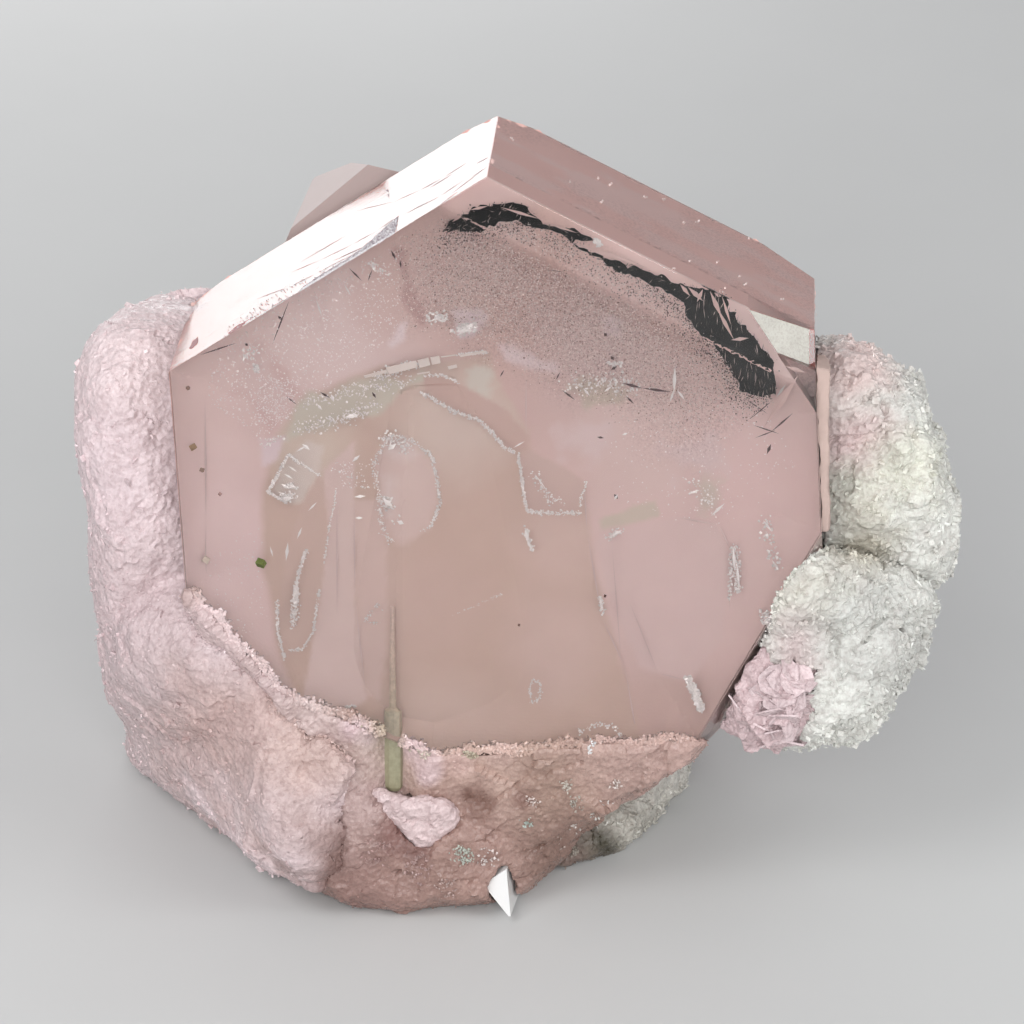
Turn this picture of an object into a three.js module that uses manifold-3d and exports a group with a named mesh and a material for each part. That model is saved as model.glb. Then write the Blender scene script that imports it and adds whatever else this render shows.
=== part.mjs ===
// A morganite crystal (pink beryl) grown on a matrix of lepidolite mica and white albite.
//
// Every piece is modelled in the crystal's own frame, in millimetres: x runs to the right and
// y up along its large front face, z comes out of that face, and the crystal's long axis
// passes through the origin. The finished group leans and turns that frame, and stands the
// specimen on its flat sawn base at z = 0. Pieces grown against each other keep a small gap.

import * as THREE from 'three';
import { ConvexGeometry } from 'three/addons/geometries/ConvexGeometry.js';
import { ImprovedNoise } from 'three/addons/math/ImprovedNoise.js';
import { mergeVertices } from 'three/addons/utils/BufferGeometryUtils.js';
import Module from 'manifold-3d';

const wasm = await Module();
wasm.setup();

// ---- driving dimensions ----------------------------------------------------------------

const ACROSS_FLATS = 75; // the big crystal, from one side face to the opposite one
const THICKNESS = 27; // from its front face to its rear face
const ROLL = 3.6; // degrees that its hexagon is turned in its own plane
const LEAN = 10; // degrees that its front face leans back
const TURN = -2.9; // degrees that the specimen is turned about the vertical
const AXIS_HEIGHT = 46.5; // from the base up to the crystal's axis on the front face
const GAP = 0.3; // between pieces that grew against each other

const RADIUS = ACROSS_FLATS / 2;
const SIDES = 6;
const FAR = 80; // from the axis, beyond every piece

// ---- helpers ---------------------------------------------------------------------------

const noise = new ImprovedNoise();

function radians(degrees) {
  return THREE.MathUtils.degToRad(degrees);
}

// A flat face that looks along a direction, at a distance from the origin.
function faceAt(direction, distance) {
  return { normal: new THREE.Vector3(...direction).normalize(), distance };
}

// A flat face that looks along a direction and passes through a point.
function faceThrough(direction, point) {
  const normal = new THREE.Vector3(...direction).normalize();
  return { normal, distance: normal.dot(new THREE.Vector3(...point)) };
}

// The point where three faces meet, or null where they are nearly parallel.
function meetingPoint(a, b, c) {
  const bc = new THREE.Vector3().crossVectors(b.normal, c.normal);
  const volume = a.normal.dot(bc);
  if (Math.abs(volume) < 1e-6) return null;
  const ca = new THREE.Vector3().crossVectors(c.normal, a.normal);
  const ab = new THREE.Vector3().crossVectors(a.normal, b.normal);
  const point = bc.multiplyScalar(a.distance);
  point.addScaledVector(ca, b.distance);
  point.addScaledVector(ab, c.distance);
  return point.divideScalar(volume);
}

// The flat-faced crystal that lies behind all the given faces, each moved out by grow.
function crystalGeometry(faces, grow = 0) {
  const planes = faces.map(({ normal, distance }) => ({ normal, distance: distance + grow }));
  const corners = [];
  for (let i = 0; i < planes.length; i++) {
    for (let j = i + 1; j < planes.length; j++) {
      for (let k = j + 1; k < planes.length; k++) {
        const corner = meetingPoint(planes[i], planes[j], planes[k]);
        if (!corner) continue;
        const inside = planes.every((plane) => plane.normal.dot(corner) < plane.distance + 1e-4);
        const isNew = corners.every((other) => other.distanceTo(corner) > 1e-3);
        if (inside && isNew) corners.push(corner);
      }
    }
  }
  return new ConvexGeometry(corners);
}

// A closed solid for joining and cutting.
function solid(geometry) {
  const bare = geometry.clone();
  bare.deleteAttribute('normal');
  bare.deleteAttribute('uv');
  const welded = mergeVertices(bare, 1e-4);
  const mesh = new wasm.Mesh({
    numProp: 3,
    vertProperties: Float32Array.from(welded.attributes.position.array),
    triVerts: Uint32Array.from(welded.index.array),
  });
  return new wasm.Manifold(mesh);
}

function crystal(faces, grow = 0) {
  return solid(crystalGeometry(faces, grow));
}

function join(solids) {
  return solids.reduce((whole, piece) => whole.add(piece));
}

// Three octaves of noise, about -1 to 1; size is the width of the largest bumps.
function roughness(point, size, seed) {
  let sum = 0;
  let frequency = 1 / size;
  let weight = 0.62;
  for (let octave = 0; octave < 3; octave++) {
    const x = point.x * frequency + seed;
    const y = point.y * frequency - seed;
    const z = point.z * frequency + 0.5 * seed;
    sum += noise.noise(x, y, z) * weight;
    frequency *= 2.2;
    weight *= 0.5;
  }
  return sum;
}

// A rough, lumpy mass. Its rim is a smooth closed loop of [x, y, z] points round its centre,
// and it swells forward and back from that loop along SWELL. Ledges turn part of the noise
// into flat steps, as in cleaved or bladed minerals.
const SWELL = new THREE.Vector3(0.044, 0.342, 0.939).normalize();

function massGeometry(description, grow = 0) {
  const { centre, rim, front, back, rough, size, seed, detail, ledges } = description;
  const middle = new THREE.Vector3(...centre);
  const points = rim.map((point) => new THREE.Vector3(...point));
  if (THREE.ShapeUtils.isClockWise(points)) points.reverse();
  const loop = new THREE.CatmullRomCurve3(points, true, 'centripetal');
  const ball = new THREE.IcosahedronGeometry(1, detail);
  ball.deleteAttribute('normal');
  ball.deleteAttribute('uv');
  const geometry = mergeVertices(ball, 1e-4);
  const position = geometry.attributes.position;
  const vertex = new THREE.Vector3();
  for (let k = 0; k < position.count; k++) {
    vertex.fromBufferAttribute(position, k);
    const turn = (Math.atan2(vertex.y, vertex.x) / (2 * Math.PI) + 1) % 1;
    const spread = Math.hypot(vertex.x, vertex.y) ** 0.6;
    const rise = Math.sign(vertex.z) * Math.abs(vertex.z) ** 0.8;
    const reach = vertex.z > 0 ? front : back;
    const wildness = rough * (0.35 + 0.65 * Math.abs(vertex.z));
    vertex.copy(loop.getPoint(turn)).sub(middle).multiplyScalar(spread);
    vertex.addScaledVector(SWELL, rise * reach).add(middle);
    const wave = roughness(vertex, size, seed);
    const stepped = Math.round(wave * 4) / 4;
    const height = wildness * (wave + ledges * (stepped - wave)) + grow;
    const outward = vertex.clone().sub(middle).normalize();
    vertex.addScaledVector(outward, height);
    position.setXYZ(k, vertex.x, vertex.y, vertex.z);
  }
  return geometry;
}

function mass(description, grow = 0) {
  return solid(massGeometry(description, grow));
}

// A flat mica plate with an uneven rim, facing along a direction.
function plate(description, grow = 0) {
  const { centre, facing, radius, thickness, sides, seed } = description;
  const corners = [];
  for (const side of [-0.5, 0.5]) {
    for (let step = 0; step < sides; step++) {
      const angle = ((step + 0.3 * Math.sin(seed + 5 * step)) * 2 * Math.PI) / sides;
      const reach = radius * (1 + 0.22 * Math.sin(seed * 3 + step * 2.1)) + grow;
      const height = side * (thickness + 2 * grow);
      corners.push(new THREE.Vector3(reach * Math.cos(angle), reach * Math.sin(angle), height));
    }
  }
  const geometry = new ConvexGeometry(corners);
  const outward = new THREE.Vector3(...facing).normalize();
  geometry.applyQuaternion(
    new THREE.Quaternion().setFromUnitVectors(new THREE.Vector3(0, 0, 1), outward),
  );
  geometry.translate(...centre);
  return solid(geometry);
}

// ---- the big morganite crystal ---------------------------------------------------------

// The side faces, anticlockwise from the right one, differ a little from a perfect hexagon.
const SIDE_FACE_SHIFTS = [-0.4, 1.3, 0.1, -1.4, -0.3, -3.5];
const RIGHT_CORNER = ROLL + 30; // direction of the corner between the right side faces
const TOP_CORNER = ROLL + 90;
const LEFT_CORNER = ROLL + 150;
const RIGHT_BEVEL_START = 40.4; // from the axis to a rear bevel's near edge
const TOP_BEVEL_START = 41.9;
const LEFT_BEVEL_START = 40.5;

function sideDirection(degrees, forward = 0) {
  const angle = radians(degrees);
  return [Math.cos(angle), Math.sin(angle), forward];
}

function sideFaces() {
  return SIDE_FACE_SHIFTS.map((shift, k) => {
    return faceAt(sideDirection(ROLL + (k * 360) / SIDES), RADIUS + shift);
  });
}

// A 45 degree bevel across a rear corner, which starts that far from the axis.
function rearBevel(degrees, start) {
  return faceAt(sideDirection(degrees, -1), (start + THICKNESS) / Math.SQRT2);
}

// The broken lower end slopes back from the front face in two directions, and the matrix
// took the room of both lower corners.
const BREAKS = [
  faceThrough([-0.075, -0.182, 0.98], [-8, -26.5, 0]),
  faceThrough([0.018, -0.2, 0.975], [10, -25, 0]),
  faceThrough([-0.65, -0.57, 0.5], [-31.5, -12, 0]),
  faceThrough([0.8, -0.42, 0.43], [31, -8.5, 0]),
];

const MORGANITE_FACES = [
  faceAt([0, 0, 1], 0),
  faceAt([0, 0, -1], THICKNESS),
  ...sideFaces(),
  rearBevel(RIGHT_CORNER, RIGHT_BEVEL_START),
  rearBevel(TOP_CORNER, TOP_BEVEL_START),
  rearBevel(LEFT_CORNER, LEFT_BEVEL_START),
  ...BREAKS,
];

// The bright little bevel at the upper right ends below at a ledge.
const FRONT_BEVEL_START = 39.5;
const LEDGE_LEFT = [31.3, 24.6, 0];
const LEDGE_DIRECTION = [-0.4, -0.9, 0.2];

function bevelNotch(grow) {
  const bevel = faceAt(sideDirection(RIGHT_CORNER, 1), FRONT_BEVEL_START / Math.SQRT2 + grow);
  const wasteSide = { normal: bevel.normal.clone().negate(), distance: -bevel.distance };
  return crystal([
    wasteSide,
    faceThrough(LEDGE_DIRECTION, LEDGE_LEFT),
    faceAt([0, 0, 1], FAR),
    faceAt([0, 0, -1], FAR),
    faceAt([1, 0, 0], FAR),
    faceAt([0, 1, 0], FAR),
    faceAt([-1, 0, 0], 0),
  ]);
}

// The rough zone of the broken lower end, down to the base.
const BROKEN_END = {
  centre: [-3, -33, -11],
  rim: [
    [24, -26.5, -7], [18, -31.5, -8], [12, -36.5, -10], [7, -42.5, -10], [2, -46.5, -6],
    [-6.5, -46.5, -4], [-15, -46.5, -4], [-20, -46, -5], [-23, -42, -4], [-21.5, -33, -5],
    [-18, -22, -7], [-4, -17, -10], [12, -16, -10], [22, -19, -8],
  ],
  front: 7.8, back: 13, rough: 1.9, size: 6, seed: 3.7, detail: 7, ledges: 0.5,
};
const BROKEN_END_FRONT = -0.2; // it stays behind the front face

// The space in front of the broken end.
function beforeBrokenEnd(grow) {
  return crystal([
    faceAt([0, 0, -1], -BROKEN_END_FRONT - grow),
    faceAt([0, 0, 1], FAR),
    ...sideFaces().map(({ normal }) => ({ normal, distance: FAR })),
  ]);
}

function morganite(grow) {
  const body = crystal(MORGANITE_FACES, grow).subtract(bevelNotch(grow));
  const brokenEnd = mass(BROKEN_END, grow).subtract(beforeBrokenEnd(grow));
  return body.add(brokenEnd);
}

// ---- what the morganite grew round -----------------------------------------------------

const CORE_DEPTH = 4.2; // from the morganite's front face to the core's nearest face

// A flat-sided, upright quartz with a sloping top, open to the rear.
const CORE_FACES = [
  faceThrough([0.1, 0.02, 1], [-6, 0, -CORE_DEPTH]),
  faceThrough([-0.3, 0.05, 1], [-14, 0, -CORE_DEPTH - 0.4]),
  faceThrough([-0.9, 0.1, 0.6], [-25.5, -4, -9]),
  faceThrough([-1, 0.05, 0], [-26.5, -4, -12]),
  faceThrough([0.85, 0.22, 0.7], [9.5, 0, -8]),
  faceThrough([1, 0.2, 0], [12.5, 0, -14]),
  faceThrough([0.75, 0.72, 0.3], [7, 7.5, -8]),
  faceThrough([-0.1, 1, 0.35], [-6, 19.5, -7]),
  faceThrough([-0.8, 0.75, 0.3], [-24, 12, -10]),
  faceThrough([0.2, -1, 0], [0, -23, -10]),
  faceThrough([-0.6, -0.7, 0.2], [-22, -20, -10]),
  faceAt([0, 0, -1], THICKNESS),
];

// A pencil of tourmaline that runs up from the broken end, close behind the front face.
const NEEDLE_RADIUS = 0.8;
const NEEDLE_TAPER = 0.55; // its upper end's radius over its lower end's
const NEEDLE_LOW = [-11.9, -31, -1.9];
const NEEDLE_HIGH = [-12.1, -8, -2.3];

function needle(grow) {
  const low = new THREE.Vector3(...NEEDLE_LOW);
  const high = new THREE.Vector3(...NEEDLE_HIGH);
  const along = high.clone().sub(low);
  const radius = NEEDLE_RADIUS + grow;
  const length = along.length() + 2 * grow;
  const geometry = new THREE.CylinderGeometry(radius * NEEDLE_TAPER, radius, length, SIDES);
  geometry.applyQuaternion(
    new THREE.Quaternion().setFromUnitVectors(new THREE.Vector3(0, 1, 0), along.normalize()),
  );
  geometry.translate(...low.add(high).multiplyScalar(0.5).toArray());
  return solid(geometry);
}

// ---- the small crystals ----------------------------------------------------------------

// The second beryl stands behind the upper left side of the big one.
const REAR_BERYL_FACES = [
  faceThrough([-0.1, 0.1, 1], [-20, 30, -31]),
  faceThrough([-0.66, 0.74, 0.15], [-18, 35.5, -33]),
  faceThrough([-0.35, 0.93, -0.3], [-21, 33.5, -38]),
  faceThrough([0.22, 0.97, -0.36], [-13.5, 34.5, -33]),
  faceThrough([-0.93, 0.37, -0.05], [-27, 25.5, -34]),
  faceThrough([0.95, 0.25, 0], [-7, 28, -36]),
  faceThrough([0.25, 0.15, -1], [-16, 20, -47]),
  faceThrough([-0.6, 0.2, -0.8], [-25, 18, -43]),
  faceThrough([0, -1, 0.1], [0, 4, -38]),
];

// The bright little point at the lower edge.
const QUARTZ_POINT_FACES = [
  faceThrough([-0.25, 0.15, 1], [0.5, -42.6, -1.2]),
  faceThrough([-0.62, 0.78, 0.1], [-0.4, -41.8, -2]),
  faceThrough([-0.75, -0.6, 0.2], [-0.9, -43.4, -2]),
  faceThrough([0.98, 0.12, 0.1], [1.9, -43.5, -3]),
  faceThrough([0.2, 0.3, -1], [0.5, -43, -7]),
  faceThrough([0.1, -1, 0], [0.6, -46.2, -4]),
];

// ---- the matrix ------------------------------------------------------------------------

// The lilac wall at the left of the crystal.
const LEPIDOLITE_WALL = {
  centre: [-38, -5, -20],
  rim: [
    [-37, 21.5, -27], [-43, 21, -23], [-46, 20, -21], [-48, 18, -20], [-49.5, 14.5, -19],
    [-50.3, 6.5, -18], [-49.5, 2, -18], [-48.5, -3, -18], [-48.5, -9.5, -18], [-47.5, -16, -18],
    [-47, -21.5, -20], [-47, -28.5, -23], [-44, -36, -28], [-34, -34, -27], [-28, -24, -24],
    [-26, -8, -20], [-26, 8, -20], [-30, 18, -24],
  ],
  front: 13, back: 17, rough: 1.8, size: 8, seed: 11.3, detail: 6, ledges: 0.3,
};

// The lower left mass that carries the crystal and meets the base.
const LEPIDOLITE_BASE = {
  centre: [-27, -30, -17],
  rim: [
    [-47, -17, -20], [-47.5, -29.5, -26], [-46, -36, -31], [-46.5, -41, -35.5], [-42.5, -42, -30],
    [-37, -43, -24], [-31.5, -44.5, -16.5], [-24.5, -45.5, -8.5], [-21, -45.5, -8],
    [-10, -45, -18], [8, -43.5, -26], [18, -40, -32], [10, -28, -30], [-8, -18, -26],
    [-26, -10, -22], [-40, -10, -20],
  ],
  front: 18.5, back: 17, rough: 2.0, size: 8, seed: 5.1, detail: 7, ledges: 0.35,
};

// The mass behind the crystal.
const LEPIDOLITE_BACK = {
  centre: [-6, -12, -34],
  rim: [
    [-44, -30, -32], [-47, -16, -30], [-46, 0, -30], [-39, 10, -32], [-22, 16, -35], [-6, 14, -36],
    [10, 16, -36], [25, 12, -36], [32, 3, -37], [32, -10, -38], [26, -24, -38],
    [18, -38, -38], [-4, -46, -36], [-32, -44, -34],
  ],
  front: 12, back: 15, rough: 2.4, size: 10, seed: 8.9, detail: 6, ledges: 0.35,
};

// Mica plates that stand on the lower left mass.
const MICA_PLATES = [
  { centre: [-20.2, -28.4, -0.6], facing: [-0.3, 0.1, 1], radius: 3.6, sides: 7, seed: 1 },
  { centre: [-23.4, -38.2, -1.4], facing: [-0.3, -0.1, 1], radius: 4.8, sides: 8, seed: 2 },
  { centre: [-26, -30.4, -1.4], facing: [-0.4, 0.1, 1], radius: 2.6, sides: 8, seed: 4 },
];
const MICA_PLATE_THICKNESS = 3;

function lepidolite(grow) {
  const masses = [LEPIDOLITE_WALL, LEPIDOLITE_BASE, LEPIDOLITE_BACK];
  const parts = [
    ...masses.map((description) => mass(description, grow)),
    ...MICA_PLATES.map((description) => {
      return plate({ ...description, thickness: MICA_PLATE_THICKNESS }, grow);
    }),
  ];
  return join(parts);
}

// The two lobes of the white mass at the right, with a cleft between them.
const ALBITE_UPPER_LOBE = {
  centre: [41, 3, -20],
  rim: [
    [36, 17.5, -22], [38.5, 18, -22], [44.5, 16, -22], [48, 12, -20], [48.5, 9.5, -20],
    [50.3, 8, -20], [50.5, 4.5, -20], [52, 1, -20], [52.7, -1.5, -20], [52.5, -5, -20],
    [50.5, -10.5, -20], [48.5, -10.5, -20], [45.5, -8.5, -19], [41, -8, -19], [32, -8, -20],
    [27, 6, -24], [29, 15, -23],
  ],
  front: 12, back: 13, rough: 2.2, size: 7, seed: 2.2, detail: 6, ledges: 0.6,
};

const ALBITE_LOWER_LOBE = {
  centre: [38, -15, -12],
  rim: [
    [33.5, -3, -6], [36.5, -1.5, -7], [40, -3, -9], [46.5, -7, -13], [48.5, -9, -14],
    [50, -10.5, -14], [49, -16, -13], [46.5, -19.5, -12], [44.5, -23.5, -11], [41.5, -25.5, -10],
    [38, -26, -9], [33, -26.5, -9], [29, -23, -10], [28, -14, -10], [31, -7, -7],
  ],
  front: 11, back: 16, rough: 2.0, size: 7, seed: 6.6, detail: 6, ledges: 0.6,
};

function albite(grow) {
  return mass(ALBITE_UPPER_LOBE, grow).add(mass(ALBITE_LOWER_LOBE, grow));
}

// The grey-white lump under the lower right edge.
const ALBITE_FOOT = {
  centre: [13, -40, -21],
  rim: [
    [7.5, -45, -13.5], [12, -44.5, -16], [16.5, -43.5, -20], [18, -43, -23.5], [19.5, -43, -29],
    [21.5, -41, -30], [21.5, -37.5, -30], [20, -34, -28], [14, -32, -24], [8, -36, -18],
    [5, -42, -14],
  ],
  front: 6, back: 8, rough: 1.2, size: 6, seed: 9.4, detail: 3, ledges: 0.6,
};

// A lilac mica patch that lies on the broken end beside the tourmaline.
const MICA_PATCH = {
  centre: [-9, -34.3, -1.6],
  rim: [
    [-14, -31, -1], [-11.5, -31.5, -1], [-5.5, -32.2, -1], [-4.4, -35, -1.5], [-8.5, -38.5, -2],
    [-10.5, -37, -2],
  ],
  front: 2.2, back: 2.6, rough: 0.5, size: 4, seed: 1.9, detail: 2, ledges: 0.3,
};

// The mica rosette between the crystal and the albite: curved flakes round one heart.
const ROSETTE = {
  heart: [31.6, -18.2, -3.2],
  flakes: 9,
  flakeRadius: 5,
  flakeThickness: 1.6,
  reach: 5.2, // from the heart to the middle of the outermost flake
};

function rosette(grow) {
  const { heart, flakes, flakeRadius, flakeThickness, reach } = ROSETTE;
  const goldenAngle = radians(137.5);
  const parts = [];
  for (let k = 0; k < flakes; k++) {
    const angle = k * goldenAngle;
    const away = reach * Math.sqrt((k + 0.5) / flakes);
    const tilt = 0.3 + 0.1 * k;
    const outward = new THREE.Vector3(Math.cos(angle), Math.sin(angle), 0);
    const centre = outward.clone().multiplyScalar(away).add(new THREE.Vector3(...heart));
    centre.z += 2.4 - 0.35 * k;
    const facing = [outward.x * tilt, outward.y * tilt, 1];
    parts.push(plate({
      centre: centre.toArray(), facing, radius: flakeRadius, thickness: flakeThickness,
      sides: 6, seed: k,
    }, grow));
  }
  return join(parts);
}

// ---- assembly --------------------------------------------------------------------------

const specimen = new THREE.Group();
specimen.rotation.set(radians(90 - LEAN), 0, radians(TURN), 'ZYX');
specimen.position.set(0, 0, AXIS_HEIGHT);
specimen.updateMatrixWorld(true);

// Everything under the sawn base, in the crystal's frame.
function belowBase() {
  const size = 300;
  const box = new THREE.BoxGeometry(size, size, size);
  box.translate(0, 0, -size / 2);
  box.applyMatrix4(specimen.matrixWorld.clone().invert());
  return solid(box);
}

const base = belowBase();
const grownSoFar = [];

// Cuts a piece by the base and by the pieces that were there first, and adds it.
function addPiece(name, build, colour, roughnessValue) {
  let piece = build(0).subtract(base);
  for (const earlier of grownSoFar) piece = piece.subtract(earlier);
  grownSoFar.push(build(GAP));
  const { vertProperties, triVerts } = piece.getMesh();
  const geometry = new THREE.BufferGeometry();
  geometry.setAttribute('position', new THREE.BufferAttribute(vertProperties, 3));
  geometry.setIndex(new THREE.BufferAttribute(triVerts, 1));
  geometry.computeVertexNormals();
  const material = new THREE.MeshStandardMaterial({
    color: colour, roughness: roughnessValue, metalness: 0, flatShading: true,
  });
  const mesh = new THREE.Mesh(geometry, material);
  mesh.name = name;
  specimen.add(mesh);
}

addPiece('inner_quartz', (grow) => crystal(CORE_FACES, grow), 0xbeaf9d, 0.35);
addPiece('tourmaline_needle', needle, 0x8f9a5a, 0.25);
addPiece('mica_patch', (grow) => mass(MICA_PATCH, grow), 0xe0c6cc, 0.4);
addPiece('quartz_point', (grow) => crystal(QUARTZ_POINT_FACES, grow), 0xf2eff0, 0.05);
addPiece('morganite_crystal', morganite, 0xe3b9b6, 0.05);
addPiece('rear_beryl_crystal', (grow) => crystal(REAR_BERYL_FACES, grow), 0xb58c86, 0.15);
addPiece('lepidolite_rosette', rosette, 0xd9bfc9, 0.4);
addPiece('albite_mass', albite, 0xe2e2da, 0.6);
addPiece('albite_foot', (grow) => mass(ALBITE_FOOT, grow), 0xcfcfc8, 0.6);
addPiece('lepidolite_matrix', lepidolite, 0xdcc8d0, 0.55);

// The origin is in the middle of the specimen's outline, on the base.
const bounds = new THREE.Box3().setFromObject(specimen, true);
const middle = bounds.getCenter(new THREE.Vector3());
specimen.position.x = -middle.x;
specimen.position.y = -middle.y;
specimen.updateMatrixWorld(true);

export default specimen;
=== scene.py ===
"""The finish of a morganite crystal on lepidolite and albite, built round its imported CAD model."""

import itertools
import math

import bmesh
import bpy
import numpy as np
from mathutils import Matrix, Vector
from mathutils.bvhtree import BVHTree
from mathutils.geometry import delaunay_2d_cdt


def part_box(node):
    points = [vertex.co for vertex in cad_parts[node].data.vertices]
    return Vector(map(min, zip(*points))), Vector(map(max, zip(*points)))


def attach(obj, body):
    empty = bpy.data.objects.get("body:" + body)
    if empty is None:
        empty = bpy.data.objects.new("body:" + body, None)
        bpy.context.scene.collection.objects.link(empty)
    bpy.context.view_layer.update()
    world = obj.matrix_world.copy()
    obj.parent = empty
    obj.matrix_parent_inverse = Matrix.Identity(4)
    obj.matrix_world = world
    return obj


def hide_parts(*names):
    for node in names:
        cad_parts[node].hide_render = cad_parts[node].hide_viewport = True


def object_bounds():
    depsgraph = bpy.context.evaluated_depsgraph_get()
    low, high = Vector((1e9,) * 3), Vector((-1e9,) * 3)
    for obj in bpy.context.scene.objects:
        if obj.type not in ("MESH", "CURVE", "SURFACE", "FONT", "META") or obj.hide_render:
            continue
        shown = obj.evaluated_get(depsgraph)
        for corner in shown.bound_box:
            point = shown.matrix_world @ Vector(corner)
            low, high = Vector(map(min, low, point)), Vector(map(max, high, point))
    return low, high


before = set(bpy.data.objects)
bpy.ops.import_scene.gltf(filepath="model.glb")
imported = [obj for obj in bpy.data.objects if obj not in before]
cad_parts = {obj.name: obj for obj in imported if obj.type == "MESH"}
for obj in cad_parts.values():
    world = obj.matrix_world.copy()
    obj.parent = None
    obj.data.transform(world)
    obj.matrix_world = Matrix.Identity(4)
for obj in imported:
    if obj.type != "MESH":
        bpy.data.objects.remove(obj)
cad_low, cad_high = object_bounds()

# ---- driving dimensions --------------------------------------------------------------------------
# Lengths are in millimetres. The crystal's own frame has x to the right and y up along its
# large front face and z out of it, and its long axis passes through the origin.

MM = 0.001
ACROSS_FLATS = 75
THICKNESS = 27
ROLL = 3.6  # degrees that the hexagon is turned in its own plane
LEAN = 10  # degrees that the front face leans back
TURN = -2.9  # degrees that the specimen is turned about the vertical
IOR = 1.58  # of beryl

ELEVATION = 30  # degrees that the camera looks down
CAMERA_DISTANCE = 650
LENS = 200
SENSOR = 36
PICTURE = 1024  # pixels across the photograph's frame
AXIS_PIXEL = (497, 548)  # where the crystal's axis shows on its front face

# The voxels that rough or cloudy pieces are divided into, and the step between the cloud's points.
HEART_VOXEL = 1.1
CORE_VOXEL = 0.75
CLOUD_STEP = 0.38
BROKEN_VOXEL = 0.44
MATRIX_VOXEL = 0.5
ALBITE_VOXEL = 0.42
FOOT_VOXEL = 0.35
PATCH_VOXEL = 0.3
STRIP_VOXEL = 0.3
ROSETTE_VOXEL = 0.36

# How many small crystals there are of each kind.
GRIT_GRAINS = 34000
FRINGE_GRAINS = 7000
FIBRES = 900
FROST_GRAINS = 900
EDGE_GRAINS = 4400
SEAM_GRAINS = 6500
CRUST_GRAINS = 3800
LEPIDOLITE_SCALES = 11500
LEPIDOLITE_PLATES = 500
ALBITE_BLADES = 6000
ALBITE_BLOCKS = 1800
BROKEN_SCALES = 4500
FOOT_BLADES = 900
ROSETTE_FLAKES = 70

# The shapes of small crystals, as the shares of their length, width and thickness.
SCALE_SHAPE = (1, 0.8, 0.15)
PLATE_SHAPE = (1, 0.9, 0.35)
BLADE_SHAPE = (1, 0.5, 0.2)
BLOCK_SHAPE = (1, 0.8, 0.5)
SEAM_SHAPE = (1, 0.8, 0.4)
EDGE_SHAPE = (1, 0.8, 0.35)
FLAKE_SHAPE = (1, 1, 0.2)

# Rough surfaces: the sizes of their grains, and how far each stands out.
BROKEN_GRAINS = [(6.0, 1.0), (2.2, 0.3), (0.9, 0.12)]
SUGARY_GRAINS = [(9.0, 0.7), (3.2, 0.38), (1.3, 0.18), (0.7, 0.09)]
KNOBBLY_GRAINS = [(5.0, 1.4), (2.2, 0.7), (0.9, 0.25)]
FOOT_GRAINS = [(3.0, 0.8), (1.2, 0.3)]
PATCH_GRAINS = [(3.0, 0.6), (1.1, 0.3)]
ROSETTE_GRAINS = [(2.2, 0.5), (0.9, 0.25)]

# ---- points, faces and frames --------------------------------------------------------------------


def direction(degrees, forward=0.0):
    """A direction across the front face, counted from the right, that may lean forward."""
    angle = math.radians(degrees)
    return (math.cos(angle), math.sin(angle), forward)


def face_at(normal, distance):
    """A flat face that looks along a direction, at a distance from the origin."""
    return np.array(Vector(normal).normalized()), distance


def face_through(normal, point):
    """A flat face that looks along a direction and passes through a point."""
    unit = np.array(Vector(normal).normalized())
    return unit, float(unit @ point)


NEAR = 1e-3  # points closer than this are one, and lie on a face
SLACK = 1e-4  # how far outside a face a corner may lie
PARALLEL = 1e-6  # three faces with a smaller determinant share no corner


def corners_of(faces, grow=0.0):
    """The corners of the crystal that lies behind all the given faces."""
    normals = np.array([normal for normal, _ in faces])
    distances = np.array([distance for _, distance in faces]) + grow
    found = []
    for trio in itertools.combinations(range(len(faces)), 3):
        three = normals[list(trio)]
        if abs(np.linalg.det(three)) < PARALLEL:
            continue
        corner = np.linalg.solve(three, distances[list(trio)])
        is_new = all(np.linalg.norm(corner - other) > NEAR for other in found)
        if is_new and np.all(normals @ corner < distances + SLACK):
            found.append(corner)
    return np.array(found)


SIDE_FACE_SHIFTS = [-0.4, 1.3, 0.1, -1.4, -0.3, -3.5]
RIGHT_CORNER = ROLL + 30
TOP_CORNER = ROLL + 90
LEFT_CORNER = ROLL + 150


def rear_bevel(degrees, start):
    """A bevel between the rear face and a corner of the sides."""
    return face_at(direction(degrees, -1), (start + THICKNESS) / math.sqrt(2))


SIDE_FACES = [
    face_at(direction(ROLL + 60 * k), ACROSS_FLATS / 2 + shift)
    for k, shift in enumerate(SIDE_FACE_SHIFTS)
]
MORGANITE_FACES = [
    face_at((0, 0, 1), 0),
    face_at((0, 0, -1), THICKNESS),
    *SIDE_FACES,
    rear_bevel(RIGHT_CORNER, 40.4),
    rear_bevel(TOP_CORNER, 41.9),
    rear_bevel(LEFT_CORNER, 40.5),
    face_through((0.8, -0.42, 0.43), (31, -8.5, 0)),
    face_through((-0.075, -0.182, 0.98), (-8, -26.5, 0)),
    face_through((0.018, -0.2, 0.975), (10, -25, 0)),
    face_through((-0.65, -0.57, 0.5), (-31.5, -12, 0)),
]
BREAKS = 3  # the last faces are rough
ROUGH_SKIN = 0.7  # how far in from the crystal's outline the rough layer on them reaches
STEEPEST = 0.45


def clear_side(normal, distance):
    """The face under a rough one: it starts a little further in on the front, and is never shallow."""
    reach = math.hypot(normal[0], normal[1])
    steep = np.array((normal[0], normal[1], min(normal[2], STEEPEST * reach)))
    length = np.linalg.norm(steep)
    return steep / length, (distance - ROUGH_SKIN * reach) / length


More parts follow.
